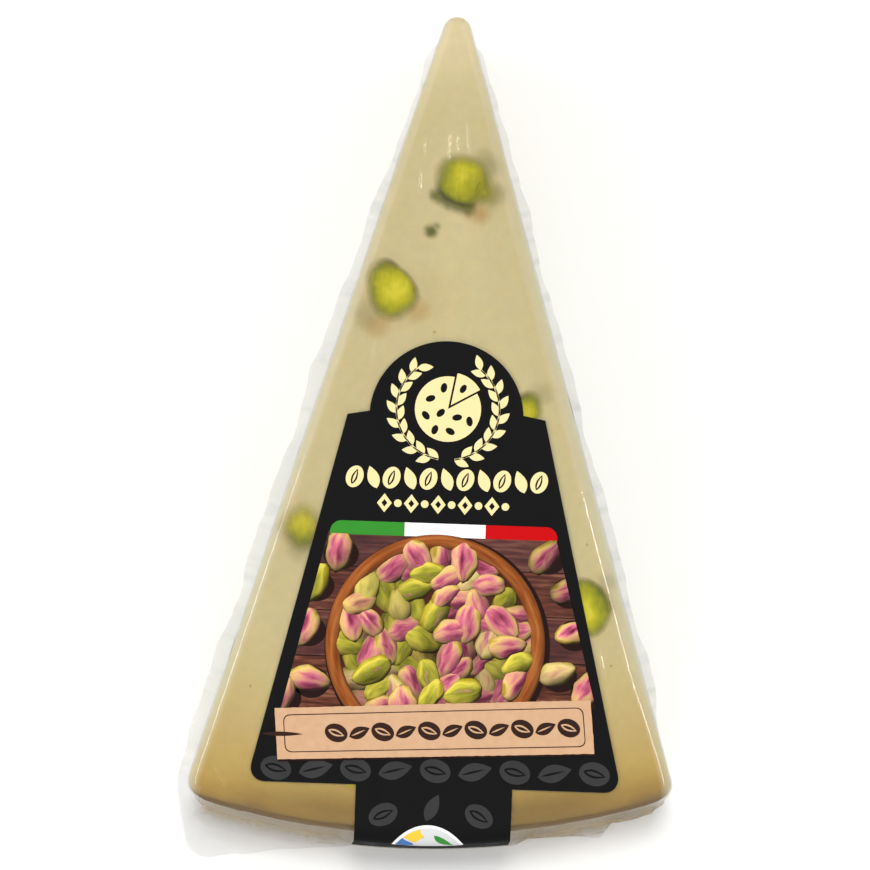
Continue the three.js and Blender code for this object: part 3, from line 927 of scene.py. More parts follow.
def brim_reach(points, normals):
    """How far the brim reaches out of the outline, to the nearest trimmed edge with rounded corners."""
    sharpness = 6
    edges = [(LEFT, BRIM_LEFT), (RIGHT, BRIM_RIGHT), facing_edge(*BRIM_BOTTOM), facing_edge(*BRIM_CORNER)]
    total = np.zeros(len(points))
    for normal, offset in edges:
        facing = normals @ normal
        distance = (offset - points @ normal) / np.where(facing > 0.05, facing, 1)
        total += np.where(facing > 0.05, np.maximum(distance, 0.01) ** -sharpness, 0)
    reach = total ** (-1 / sharpness)
    down = -points[:, 1]
    right_share = smoothstep(normals[:, 0], -0.5, 0.5)
    below_tip = smoothstep(down, 16, 60) * (1 - right_share) + smoothstep(down, 9, 14) * right_share
    narrow = np.minimum(reach, BRIM_TIP)
    tucked = smoothstep(down, 116, 138) * smoothstep(points[:, 0], 28.5, 32)
    wide = narrow + (reach - narrow) * below_tip
    return wide + (BRIM_TUCKED - wide) * tucked


def brim_wave(around, shift):
    """Slow waves round the brim, from 0 to 1: each has a count round the outline and a share."""
    waves = [(12, 0.5), (22, 0.3), (49, 0.2)]
    return sum(share * (0.5 + 0.5 * np.sin(2 * math.pi * count * (around + shift))) for count, share in waves)


# %% [markdown]
# The film's form is again a set of rings, from the top edge down the wall, round the foot, out along the
# brim and back under it. Fine tension wrinkles run along the tip: they are narrow ridges, too fine for an
# even grid, so the triangulation gets extra rows of points along each of them.

# %% The film's form
TENSION_WRINKLES = [  # from, to, half width and height of each ridge
    ((2.2, -25.0), (2.8, -31.2), 0.22, 0.2),
    ((-0.6, -26.8), (-0.75, -32.8), 0.2, 0.17),
    ((-4.85, -28.0), (-4.78, -32.0), 0.2, 0.14),
    ((-5.38, -33.0), (-5.42, -39.0), 0.24, 0.16),
    ((0.74, -27.2), (0.83, -31.0), 0.17, 0.13),
    ((4.1, -38.0), (5.0, -46.0), 0.22, 0.1),
    ((-11.6, -62.0), (-12.9, -69.0), 0.24, 0.13),
    ((15.6, -58.0), (17.0, -62.5), 0.24, 0.15),
    ((19.4, -72.0), (20.8, -79.5), 0.24, 0.12),
    ((26.9, -113.0), (28.6, -121.0), 0.24, 0.13),
    ((-31.0, -131.5), (-27.6, -136.6), 0.26, 0.14),
    ((-36.5, -136.0), (-33.8, -140.4), 0.26, 0.17),
]
RIDGE_ROWS = (-2.3, -1.5, -1.0, -0.6, -0.2, 0.2, 0.6, 1.0, 1.5, 2.3)  # rows of points, in half widths


def wrinkle_height(points):
    """The height that the ridges add to the film's top face."""
    height = np.zeros(len(points))
    for start, end, width, rise in TENSION_WRINKLES:
        start, along = np.array(start), np.array(end) - np.array(start)
        share = np.clip((points - start) @ along / (along @ along), 0, 1)
        away = np.linalg.norm(points - start - share[:, None] * along, axis=1) / width
        height += rise * np.exp(-(away**2)) * np.sqrt(np.sin(math.pi * np.clip(share, 0.001, 0.999)))
    return height


def wrinkle_points():
    """Extra points for the triangulation, in rows along each ridge."""
    points = []
    for start, end, width, rise in TENSION_WRINKLES:
        start, along = np.array(start), np.array(end) - np.array(start)
        side = np.array([-along[1], along[0]]) / np.linalg.norm(along)
        for share in np.linspace(-0.06, 1.06, 16):
            points += [start + share * along + side * width * row for row in RIDGE_ROWS]
    return np.array(points)


def film_rings():
    """The film's profile as rings, and the haze at each ring."""
    stands_off = 1 - off_tab()
    loose = RIND_TENT * smoothstep(-NORMALS[:, 1], 0.8, 0.97) * (1 + 0.5 * ripple_flat(OUTLINE, 7, 16))
    tent = TENT * stands_off + loose * off_tab()
    radius = TAB_BEND * stands_off + (edge_radius(OUTLINE, NORMALS) + loose) * off_tab()
    reach = brim_reach(OUTLINE, NORMALS) * (1 + BRIM_UNEVEN * (brim_wave(AROUND, 0) - 0.5))
    pleats = ripple_flat(OUTLINE, 2.6, 11)
    fine_pleats = ripple_flat(OUTLINE, 1.0, 12)
    reach = reach * (1 + 0.012 * fine_pleats + 0.05 * ripple_flat(OUTLINE, 5, 13))
    reach = np.maximum(reach, tent + 0.4)
    lift = BRIM_LIFT * np.minimum(1, reach / BRIM_LEFT) * brim_wave(AROUND, 0.31) * off_tab()
    foot_reach = np.minimum(FOOT_RADIUS, FOOT_SHARE * (reach - tent))
    foot_top = BRIM_THICKNESS + FOOT_RADIUS
    rings, haze = [], []
    for turn in np.linspace(0, math.pi / 2, EDGE_RINGS):
        rings.append(ring_at(tent - radius * (1 - math.sin(turn)), THICKNESS - radius * (1 - math.cos(turn))))
        haze.append(0.005 + 0.02 * math.sin(turn))
    puckered = (0.6 + pleats + 0.5 * fine_pleats).clip(0) * off_tab()
    for share in np.linspace(1, 0, WALL_RINGS + 2)[1:-1]:
        z = foot_top + share * (THICKNESS - radius - foot_top)
        puckers = PUCKER * (1 - share) ** 3 * puckered
        rings.append(ring_at(tent + wall_bulge(NORMALS, share) + puckers, z))
        haze.append(0.02 + 0.02 * (1 - share))
    for turn in np.linspace(0, math.pi / 2, 6):
        out = foot_reach * (1 - math.cos(turn)) + PUCKER * puckered
        rings.append(ring_at(tent + out, BRIM_THICKNESS + FOOT_RADIUS * (1 - math.sin(turn))))
        haze.append(0.035)
    for ring in rings[EDGE_RINGS : EDGE_RINGS + WALL_RINGS]:
        tall = ring * (1, 1, 0.35)
        ripples = 0.1 * ripple(tall, 5, 25) + 0.05 * ripple(tall, 1.8, 26)
        ring[:, :2] += NORMALS * (0.06 + ripples * off_tab())[:, None]
    crinkle = 0.6 * ripple_flat(OUTLINE, 5, 14) + 0.35 * pleats + 0.1 * fine_pleats
    brim_top = []
    for share in np.linspace(0, 1, 9)[1:]:
        out = tent + foot_reach + (reach - tent - foot_reach) * share
        z = BRIM_THICKNESS + lift * share**1.4 + crinkle * share * np.minimum(1, reach / 3) * off_tab()
        brim_top.append((out, np.maximum(z, 0.3), share))
    for out, z, share in brim_top:
        rings.append(ring_at(out, z))
        haze.append(0.035 + 0.015 * share)
    for out, z, share in reversed(brim_top):
        rings.append(ring_at(out, np.maximum(z - 0.22 - 0.2 * (1 - share), FILM_FOOT)))
        haze.append(0.02)
    rings.append(ring_at(0, FILM_FOOT))
    haze.append(0.01)
    return rings, haze


def off_tab():
    """0 where the label's tab lies on the rind's wall, and 1 away from it."""
    on_rind = smoothstep(-NORMALS[:, 1], 0.6, 0.9)
    return 1 - on_rind * (1 - smoothstep(np.abs(OUTLINE[:, 0] - LABEL_SHIFT), 14, 17))


def film_values(vertices, rings, haze):
    """The haze of the film's rings, and where the rind's brown is painted into that haze as a reflection."""
    count = len(rings)
    values = np.repeat(haze, len(OUTLINE))
    under_rind = np.tile(smoothstep(-NORMALS[:, 1], 0.75, 0.95), count)
    down_brim = -depth_in_rind(vertices)
    # painted reflection of the rind's brown, in the haze just below the rind's edge
    painted_rind_shade_and_reflection = under_rind * (1 - smoothstep(down_brim, 0.8, 4.0)) * smoothstep(down_brim, 0.2, 0.7)
    patchy = 0.85 + 0.25 * np.tile(ripple_flat(OUTLINE, 6, 15), count)
    low = 1 - smoothstep(vertices[:, 2], 1.5, 18)
    near = 1 - smoothstep(down_brim, 1.0, 2.6)
    values += (0.36 + 0.26 * near * low) * painted_rind_shade_and_reflection * patchy
    creases = (ripple_flat(OUTLINE, 2.6, 11) + 0.5 * ripple_flat(OUTLINE, 1.0, 12)).clip(0)
    values += 0.09 * np.tile(creases, count) * low**3 * (1 - under_rind)
    right_side = smoothstep(NORMALS[:, 0], 0.5, 0.9) * smoothstep(-OUTLINE[:, 1], 45, 70)
    return values * (1 + 0.5 * np.tile(right_side, count)), painted_rind_shade_and_reflection


def make_film(material):
    """The film as one closed skin, with the values that its finish reads."""
    rings, haze = film_rings()
    extra = wrinkle_points()
    grid = grid_inside(rings[0], 0.8, 0.5)
    inner = np.concatenate([grid[nearest(grid, extra) > 0.45], extra])
    rise = 0.03 * ripple_flat(inner, 7, 21) + 0.015 * ripple_flat(inner, 2.5, 22)
    inner_z = THICKNESS + (rise + wrinkle_height(inner)) * off_label(inner)
    walls = np.concatenate(rings[:EDGE_RINGS])
    looser = np.tile(0.03 + 0.05 * smoothstep(NORMALS[:, 0], 0.5, 0.9), EDGE_RINGS)
    sway = (0.07 * ripple(walls, 6, 23) + looser * ripple(walls, 2, 24)) * np.tile(off_tab(), EDGE_RINGS)
    sway *= smoothstep(THICKNESS - walls[:, 2], 0, 1)
    walls[:, :2] += np.tile(NORMALS, (EDGE_RINGS, 1)) * sway[:, None]
    rings[:EDGE_RINGS] = np.split(walls, EDGE_RINGS)
    vertices, faces = shell(rings, inner, inner_z, grid_inside(rings[-1], BASE_GRID, 1.5), FILM_FOOT)
    piece = new_object("film", to_frame(vertices), faces, [material])
    ring_points = len(rings) * len(OUTLINE)
    hazy, painted_rind_shade_and_reflection = film_values(vertices[:ring_points], rings, haze)
    flat_faces = np.zeros(len(vertices) - ring_points)
    set_attribute(piece, "haze", [*hazy, *(flat_faces + 0.005)])
    set_attribute(piece, "painted_rind_shade_and_reflection", [*painted_rind_shade_and_reflection, *flat_faces])
    return piece


# %% [markdown]
# ## The label's form
# The label is a flat die-cut shape: a dome for the emblem, a skirt that widens with the wedge, and a tab that
# folds softly over the rind's edge and runs down the wall, a little off the rind. Everything on it is drawn
# flat, in millimetres across the label and down from the apex, and one function lays any flat point on the
# pack.

# %% Laying flat artwork on the pack
DOME_RADIUS = 13
SHOULDER = DOME_TOP + DOME_RADIUS
SKIRT_END = 138.8
SHOULDER_HALF_WIDTH = 16.7
SKIRT_HALF_WIDTH = 31.2
SKIRT_CORNER_RADIUS = 3
TAB_SPREAD = 0.7
TAB_SLANT = 0.2
PAPER_GAP = 0.08  # the glue line between film and paper
PAPER_THICKNESS = 0.2
BEND_LENGTH = (TAB_BEND + PAPER_GAP) * math.pi / 2
WALL_LENGTH = THICKNESS - TAB_BEND - 2.2


def bend_start(across):
    """How far down the label the rind's edge starts to bend under it."""
    reach = WHEEL_RADIUS + TENT - TAB_BEND
    return np.sqrt(reach**2 - (across + LABEL_SHIFT - WHEEL_CENTRE[0]) ** 2) - WHEEL_CENTRE[1]


def wrap(across, down, height):
    """Points of the flat label, with their height above its paper, as points of the wedge frame."""
    across, down = np.asarray(across, float), np.asarray(down, float)
    height = np.asarray(height, float) + PAPER_THICKNESS
    rest = down - bend_start(across)
    bend = TAB_BEND + PAPER_GAP
    turn = np.clip(rest / bend, 0, math.pi / 2)
    radius = WHEEL_RADIUS + TENT - TAB_BEND + (bend + height) * np.sin(turn)
    z = THICKNESS - TAB_BEND + (bend + height) * np.cos(turn) - np.clip(rest - BEND_LENGTH, 0, None)
    bent = rest > 0
    x = across + LABEL_SHIFT - np.where(bent, TAB_SLANT * (THICKNESS - z) / THICKNESS, 0)
    y_bent = WHEEL_CENTRE[1] - np.sqrt(radius**2 - (x - WHEEL_CENTRE[0]) ** 2)
    y = np.where(bent, y_bent, -down)
    z = np.where(bent, z, THICKNESS + PAPER_GAP + height)
    return np.column_stack([x, y, z])


def skirt_half_width(down):
    """Half the label's width down its skirt, without its rounded corners."""
    share = (np.asarray(down, float) - SHOULDER) / (SKIRT_END - SHOULDER)
    return SHOULDER_HALF_WIDTH + (SKIRT_HALF_WIDTH - SHOULDER_HALF_WIDTH) * share


def off_label(points):
    """0 where the label lies on the film's top face, and 1 a little outside it."""
    across, down = np.abs(points[:, 0] - LABEL_SHIFT), -points[:, 1]
    dome = np.hypot(across, np.maximum(SHOULDER - down, 0)) - DOME_RADIUS
    skirt = np.where((down > SHOULDER - 1) & (down < SKIRT_END + 1), across - skirt_half_width(down), 99)
    tab = np.where(down > SHOULDER, across - DOME_RADIUS, 99)
    return smoothstep(np.minimum(np.minimum(dome + (down > SHOULDER) * 99, skirt), tab), 0.2, 1.2)


film = make_film(clear_film())
print("film triangles:", triangle_count(film))

# %% [markdown]
# The label itself is one outline, filled with points that are close together where the paper bends. Its two
# faces and its cut edge are separate materials, because the paper is white inside and shows as a thin pale
# line where it was cut. The black turns deeper where the paper bends down, away from the lamp overhead.

# %% Finish of the label


def coated_black_paper():
    """Coated label paper, offset printed solid black and varnished satin: nearly black, with a soft sheen."""
    material, tree = new_material("coated_black_paper")
    place = add(tree, "TexCoord").outputs["Object"]
    fibres = add(tree, "TexNoise", {"Vector": place, "Scale": per_mm(0.5), "Detail": 3.0})
    ink = mottled(tree, place, 6, 2.0, "161617", "1A1A1B")
    height = add(tree, "SeparateXYZ", {"Vector": place}).outputs["Z"]
    flat = add(tree, "MapRange", {"Value": height, "From Min": 25 * MM, "From Max": 30 * MM})
    tone = add(tree, "Mix", {"Factor": flat, "A": linear("0A0A0A"), "B": ink}, data_type="RGBA")
    limits = {"Value": fibres, "From Min": 0.3, "From Max": 0.7, "To Min": 0.42, "To Max": 0.52}
    sheen = add(tree, "MapRange", limits)
    bump = add(tree, "Bump", {"Height": fibres, "Strength": 0.12, "Distance": 0.02 * MM})
    look = {"Base Color": tone, "Roughness": sheen, "IOR": 1.5, "Specular IOR Level": 0.06, "Normal": bump}
    return finished(material, add(tree, "BsdfPrincipled", look))


def cut_paper_edge():
    """The die-cut edge of the paper: unprinted, white and fibrous."""
    material, tree = new_material("cut_paper_edge")
    tone = mottled(tree, add(tree, "TexCoord").outputs["Object"], 0.4, 2.0, "CFC7AE", "E6E0CB")
    return finished(material, add(tree, "BsdfPrincipled", {"Base Color": tone, "Roughness": 0.9}))


# %% The label's mesh
TAB_END = BEND_LENGTH + WALL_LENGTH
SHARP = math.radians(40)  # edges that turn more than this stay crisp


def label_outline():
    """The flat label's outline as across and minus down, counter-clockwise."""
    turn = np.linspace(0, math.pi, 60)
    dome = np.column_stack([DOME_RADIUS * np.cos(turn), DOME_RADIUS * np.sin(turn) - SHOULDER])
    turn = np.linspace(0, math.pi / 2, 9)
    corner_top = SKIRT_END - SKIRT_CORNER_RADIUS
    side_down = np.linspace(SHOULDER, corner_top, 40)[:-1]
    corner_down = corner_top + SKIRT_CORNER_RADIUS * np.sin(turn)
    corner = skirt_half_width(corner_down) - SKIRT_CORNER_RADIUS * (1 - np.cos(turn))
    tab_down = np.linspace(SKIRT_END, bend_start(0) + TAB_END, 90)
    tab = DOME_RADIUS + TAB_SPREAD * np.clip((tab_down - WEDGE_LENGTH) / THICKNESS, 0, None)
    half = np.concatenate([skirt_half_width(side_down), corner, tab])
    right = np.column_stack([half, -np.concatenate([side_down, corner_down, tab_down])])
    foot = np.linspace(-tab[-1], tab[-1], 50)[1:-1]
    foot = np.column_stack([foot, -bend_start(foot) - TAB_END])
    return np.concatenate([foot, right[::-1], dome[1:-1], right * (-1, 1)])


def make_label(material, edge_material):
    """The folded label: two printed faces and a cut edge of its own material."""
    outline = label_outline()
    coarse = grid_inside(outline, 2.0, 1.0)
    fine_rows = -np.arange(SKIRT_END + 2, bend_start(0) + TAB_END, 0.35)
    coarse = coarse[coarse[:, 1] > -(SKIRT_END + 1.5)]
    fine = np.array([(x, y) for y in fine_rows for x in np.linspace(-12.2, 12.2, 19)])
    fine = fine[-fine[:, 1] < bend_start(fine[:, 0]) + TAB_END - 0.2]
    inner = np.concatenate([coarse, fine])
    flat = np.concatenate([outline, inner])
    upper = wrap(flat[:, 0], -flat[:, 1], 0)
    lower = wrap(flat[:, 0], -flat[:, 1], -PAPER_THICKNESS)
    triangles = triangulate([outline], inner)
    total = len(flat)
    faces = triangles + [(a + total, c + total, b + total) for a, b, c in triangles]
    faces += bridge(len(outline), 0, total)
    piece = new_object("label", to_frame(np.concatenate([upper, lower])), faces, [material, edge_material])
    for number in range(2 * len(triangles), len(faces)):
        piece.data.polygons[number].material_index = 1
    piece.data.set_sharp_from_angle(angle=SHARP)
    return piece


label = make_label(coated_black_paper(), cut_paper_edge())
print("label triangles:", triangle_count(label))

# %% [markdown]
# ## Printing
# The label's print is fields of colour: a picture of a bowl of nuts on planks, a three-colour band, a kraft
# tag, and cream and grey motifs. Here each field is its own thin plate of ink a few hundredths of a
# millimetre high, drawn flat and then laid on the paper with the label's own bending function, so an edge
# stays sharp at any distance. Motifs are generic ones of the same colours and scale.

# %% Flat plates of ink
INK = 0.03  # how far a plain field stands above the paper
FLAT_STEP = 0.4  # spacing of extra points where the paper bends


def plate(loops, high=INK, low=-0.02, bends=False):
    """A closed thin plate with holes: the first loop is its outline. Gives flat points and faces."""
    loops = [np.asarray(loop, float) for loop in loops]
    for number, loop in enumerate(loops):
        turn = np.roll(loop, -1, 0)
        area = (loop[:, 0] * turn[:, 1] - turn[:, 0] * loop[:, 1]).sum()
        if (area > 0) != (number == 0):
            loops[number] = loop[::-1]
    inner = grid_inside(loops[0], FLAT_STEP, FLAT_STEP * 0.6) if bends else np.zeros((0, 2))
    flat = np.concatenate([*loops, inner])
    total = len(flat)
    triangles = triangulate(loops, inner)
    faces = triangles + [(c + total, b + total, a + total) for a, b, c in triangles]
    start = 0
    for loop in loops:
        faces += [(b, c, d, a) for a, b, c, d in bridge(len(loop), start, start + total)]
        start += len(loop)
    return np.concatenate([at_height(flat, high), at_height(flat, low)]), faces


PRINTS = []


def lay_on_label(piece):
    """Takes a piece drawn flat, in millimetres, and lays it on the label as one of its prints."""
    flat = np.empty(len(piece.data.vertices) * 3)
    piece.data.vertices.foreach_get("co", flat)
    across, up, height = flat.reshape(-1, 3).T
    piece.data.vertices.foreach_set("co", to_frame(wrap(across, -up, height)).ravel())
    piece.data.update()
    PRINTS.append(piece)
    return piece


def trim(mesh, place, outward):
    """Cuts off what lies beyond a plane and closes the cuts."""
    shape = bmesh.new()
    shape.from_mesh(mesh)
    everything = [*shape.verts, *shape.edges, *shape.faces]
    bmesh.ops.bisect_plane(shape, geom=everything, plane_co=place, plane_no=outward, clear_outer=True)
    bmesh.ops.holes_fill(shape, edges=[edge for edge in shape.edges if edge.is_boundary], sides=0)
    shape.to_mesh(mesh)
    shape.free()


def print_plates(name, parts, material, trims=()):
    """Prints plates of one ink on the label, as one piece."""
    piece = new_object(name, *joined(parts), [material])
    for place, outward in trims:
        trim(piece.data, place, outward)
    lay_on_label(piece)
    piece.data.set_sharp_from_angle(angle=SHARP)
    return piece


def varnished(material, tone, roughness=0.45):
    """Gives a material the surface of a varnished print in a tone."""
    look = {"Base Color": tone, "Roughness": roughness, "Specular IOR Level": 0.2}
    return finished(material, add(material.node_tree, "BsdfPrincipled", look))


def ink(name, colour, other, patch=5.0):
    """A flat printed ink on coated paper: even, with the faintest clouds and a satin varnish."""
    material, tree = new_material(name)
    place = add(tree, "TexCoord").outputs["Object"]
    fibres = add(tree, "TexNoise", {"Vector": place, "Scale": per_mm(0.4), "Detail": 1.0})
    tone = mottled(tree, place, patch, 3.0, colour, other)
    limits = {"Value": fibres, "From Min": 0.3, "From Max": 0.7, "To Min": 0.42, "To Max": 0.55}
    return varnished(material, tone, add(tree, "MapRange", limits))


def turned(points, degrees, move=(0, 0), scale=1.0):
    """Flat points turned, scaled and moved."""
    turn = math.radians(degrees)
    spin = np.array([[math.cos(turn), math.sin(turn)], [-math.sin(turn), math.cos(turn)]])
    return np.asarray(points, float) @ spin * scale + np.array(move)


def oval(length, width, steps=28):
    """An ellipse about the origin, long along x."""
    turn = np.linspace(0, 2 * math.pi, steps, endpoint=False)
    return np.column_stack([length / 2 * np.cos(turn), width / 2 * np.sin(turn)])


def leaf(length, width, steps=12):
    """A pointed leaf from the origin along x."""
    share = np.linspace(0, 1, steps + 1)
    half = width / 2 * np.sin(math.pi * share**0.85) ** 0.9
    upper = np.column_stack([share * length, half])
    return np.concatenate([upper, upper[-2:0:-1] * (1, -1)])


# %% [markdown]
# ## Rows of motifs
# Wreaths, rows and borders repeat a motif along a path. That is one Geometry Nodes tree: the path's edges
# become a curve, points are set along it at a spacing, and two motifs take turns on them, each turned to
# the path and then to alternate sides of it. The tree works flat, in millimetres, before the laying.

# %% Geometry Nodes: repeat along a path


def new_tree(name, inputs):
    """A geometry tree from geometry to geometry, with more inputs by name and kind, and a material."""
    tree = bpy.data.node_groups.new(name, "GeometryNodeTree")
    for title, kind in {"Geometry": "Geometry", **inputs, "Material": "Material"}.items():
        tree.interface.new_socket(title, in_out="INPUT", socket_type="NodeSocket" + kind)
    tree.interface.new_socket("Geometry", in_out="OUTPUT", socket_type="NodeSocketGeometry")
    return tree, tree.nodes.new("NodeGroupInput"), tree.nodes.new("NodeGroupOutput")


def run_tree(tree, source, values):
    """Runs a tree on an object and gives the result as a plain mesh. The source object is removed."""
    modifier = source.modifiers.new("made", "NODES")
    modifier.node_group = tree
    for item in tree.interface.items_tree:
        if item.in_out == "INPUT" and item.name in values:
            modifier[item.identifier] = values[item.name]
    source.update_tag()
    depsgraph = bpy.context.evaluated_depsgraph_get()
    depsgraph.update()
    mesh = bpy.data.meshes.new_from_object(source.evaluated_get(depsgraph), depsgraph=depsgraph)
    source.modifiers.remove(modifier)
    bpy.data.objects.remove(source)
    return mesh


def build_repeat_tree():
    """The tree that sets two motifs by turns along a path."""
    inputs = {"Motif": "Object", "Other Motif": "Object", "Spacing": "Float", "Turn": "Float"}
    tree, given, made = new_tree("repeat_along_path", inputs)
    curve = add(tree, "MeshToCurve", {"Mesh": given.outputs["Geometry"]})
    stops = add(tree, "CurveToPoints", {"Curve": curve, "Length": given.outputs["Spacing"]}, mode="LENGTH")
    both = add(tree, "JoinGeometry")
    for name in ("Other Motif", "Motif"):
        shape = add(tree, "ObjectInfo", {"Object": given.outputs[name]})
        motif = add(tree, "GeometryToInstance", {0: shape.outputs["Geometry"]})
        tree.links.new(output_of(motif), both.inputs[0])
    index = add(tree, "InputIndex")
    parity = add(tree, "Math", {0: index, 1: 2.0}, operation="FLOORED_MODULO")
    side = add(tree, "Math", {0: parity, 1: 2.0, 2: -1.0}, operation="MULTIPLY_ADD")
    split = add(tree, "SeparateXYZ", {"Vector": stops.outputs["Tangent"]})
    heading = add(tree, "Math", {0: split.outputs["Y"], 1: split.outputs["X"]}, operation="ARCTAN2")
    angle = add(tree, "Math", {0: side, 1: given.outputs["Turn"], 2: heading}, operation="MULTIPLY_ADD")
    rotation = add(tree, "CombineXYZ", {"Z": angle})
    by_turns = {"Instance": both, "Pick Instance": True, "Instance Index": parity}
    placed = {"Points": stops.outputs["Points"], **by_turns, "Rotation": rotation}
    row = add(tree, "InstanceOnPoints", placed)
    real = add(tree, "RealizeInstances", {"Geometry": row})
    dressed = add(tree, "SetMaterial", {"Geometry": real, "Material": given.outputs["Material"]})
    tree.links.new(output_of(dressed), made.inputs[0])
    return tree


REPEAT_TREE = build_repeat_tree()


def motif_object(name, parts):
    """A helper object that the tree repeats."""
    return new_object(name, *joined(parts))


def print_row(name, path, motif, other, spacing, turn, material):
    """Prints motifs along a flat path."""
    edges = [(i, i + 1) for i in range(len(path) - 1)]
    mesh = bpy.data.meshes.new(name + "_path")
    mesh.from_pydata([(x, y, 0) for x, y in path], edges, [])
    source = linked(name + "_path", mesh)
    motifs = {"Motif": motif, "Other Motif": other, "Material": material}
    values = {**motifs, "Spacing": spacing, "Turn": math.radians(turn)}
    piece = linked(name, run_tree(REPEAT_TREE, source, values))
    lay_on_label(piece)
    piece.data.set_sharp_from_angle(angle=SHARP)
    return piece


def arc_path(centre, radius, start, end, steps=60):
    """Flat points along an arc, angles in degrees."""
    turn = np.radians(np.linspace(start, end, steps))
    return np.column_stack([centre[0] + radius * np.cos(turn), centre[1] + radius * np.sin(turn)])


# %% [markdown]
# ## Emblem and cream rows
# The dome carries a cream emblem: a whole cheese from above, with one wedge drawn out and nuts in its
# paste, in a wreath of leaves. Two rows of small motifs stand under it, as wide and as tall as the lines
# they stand for.

# %% The emblem
cream_ink = ink("cream_ink", "F0DFA2", "F5E4A9")
EMBLEM = (0.2, -75.2)
WHEEL = 5.6
CUT = (30, 80)  # the wedge drawn out of the wheel, in degrees


def sector(centre, radius, start, end):
    """A slice of a disc."""
    return np.concatenate([[centre], arc_path(centre, radius, start, end, 40)])


nut_places = [
    (-3.0, 1.7, 20), (-0.8, 3.6, 80), (-3.7, -1.2, 130), (-1.2, -0.7, 45),
    (1.6, -1.4, 10), (3.7, -2.0, 100), (0.5, -3.8, 150), (-2.1, -3.6, 70),
]
nut_holes = [turned(oval(1.7, 1.1, 18), turn, (EMBLEM[0] + x, EMBLEM[1] + y)) for x, y, turn in nut_places]
wheel = sector(EMBLEM, WHEEL, CUT[1], CUT[0] + 360)
middle = math.radians(sum(CUT) / 2)
drawn = (EMBLEM[0] + 0.8 * math.cos(middle), EMBLEM[1] + 0.8 * math.sin(middle))
hole_place = (drawn[0] + 3.5 * math.cos(middle), drawn[1] + 3.5 * math.sin(middle))
wedge_hole = turned(oval(1.6, 1.0, 18), 60, hole_place)
emblem = [plate([wheel, *nut_holes]), plate([sector(drawn, WHEEL, *CUT), wedge_hole])]
print_plates("emblem", emblem, cream_ink)
long_leaf = motif_object("long_leaf", [plate([leaf(2.7, 1.3)])])
STEM_RADIUS, STEM_HALF = 8.7, 0.14
for side, start, end in (("left", 261, 128), ("right", 279, 412)):
    stem = arc_path(EMBLEM, STEM_RADIUS, start, end)
    print_row("wreath_" + side, stem, long_leaf, long_leaf, 1.25, 34, cream_ink)
    outer = arc_path(EMBLEM, STEM_RADIUS + STEM_HALF, start, end)
    inner = arc_path(EMBLEM, STEM_RADIUS - STEM_HALF, start, end)
    print_plates("stem_" + side, [plate([np.concatenate([outer, inner[::-1]])])], cream_ink)

# %% The cream rows
lozenge = np.array([(-1.25, 0), (0, -1.6), (1.25, 0), (0, 1.6)])
small_hole = np.array([(-0.5, 0), (0, -0.65), (0.5, 0), (0, 0.65)])
bar_leaf = motif_object("bar_leaf", [plate([turned(leaf(4.0, 2.0), 90, (0, -2.0))])])
nut_shell = plate([oval(2.9, 3.8), turned(leaf(2.8, 1.0), 90, (0, -1.4))])
nut_kernel = plate([turned(leaf(2.1, 0.4), 90, (0, -1.05))])
round_nut = motif_object("round_nut", [nut_shell, nut_kernel])
small_lozenge = motif_object("small_lozenge", [plate([lozenge, small_hole])])
small_dot = motif_object("small_dot", [plate([oval(1.3, 1.3, 20)])])
row_one = [(across, -87.2) for across in np.linspace(-15.1, 15.95, 9)]
row_two = [(across, -91.5) for across in np.linspace(-9.95, 10.4, 7)]
print_row("row_one", row_one, round_nut, bar_leaf, 3.1, 20, cream_ink)
print_row("row_two", row_two, small_lozenge, small_dot, 2.26, 0, cream_ink)

# %% [markdown]
# ## The picture's ground
# The picture's ground is four dark planks with fine grain. Its sides follow the label's own slope.

# %% Planks and band
PICTURE_TOP = 96.4
PICTURE_END = 128.0  # under the tag


def picture_half(down, side):
    """Half the picture's width down the label, on the left (-1) or right (1) side."""
    return 19.2 + (down - 97) * (0.229 if side < 0 else 0.262)


def printed_planks():
    """A photograph of old oiled planks: dark maroon brown, with fine grain along them."""
    material, tree = new_material("printed_planks")
    place = add(tree, "TexCoord").outputs["Object"]
    along = add(tree, "Mapping", {"Vector": place, "Scale": (0.09, 1, 1)})
    fine = add(tree, "TexNoise", {"Vector": along, "Scale": per_mm(0.5), "Detail": 4.0, "Distortion": 0.4})
    broad = add(tree, "TexNoise", {"Vector": along, "Scale": per_mm(2.6), "Detail": 2.0})
    both = add(tree, "Math", {0: broad, 1: 0.8, 2: fine}, operation="MULTIPLY_ADD")
    share = add(tree, "MapRange", {"Value": both, "From Min": 0.66, "From Max": 1.18})
    stops = [(0.0, "2A1410"), (0.35, "4E2A20"), (0.65, "6A3B2C"), (1.0, "8E5C48")]
    wood = add(tree, "ValToRGB", {"Fac": share}, stops)
    tone = add(tree, "Attribute", attribute_name="plank_tone").outputs["Fac"]
    toned = add(tree, "Mix", {"Factor": tone, "A": wood, "B": linear("52363A")}, data_type="RGBA")
    return varnished(material, toned)


def strip_of_picture(top, bottom):
    """A strip right across the picture. The last one's right corner is drawn in, under the slanted tag."""
    last = bottom > PICTURE_END - 1
    return [
        (-picture_half(bottom, -1), -bottom),
        (25.5, -124.8) if last else (picture_half(bottom, 1), -bottom),
        (picture_half(top, 1), -top),
        (-picture_half(top, -1), -top),
    ]


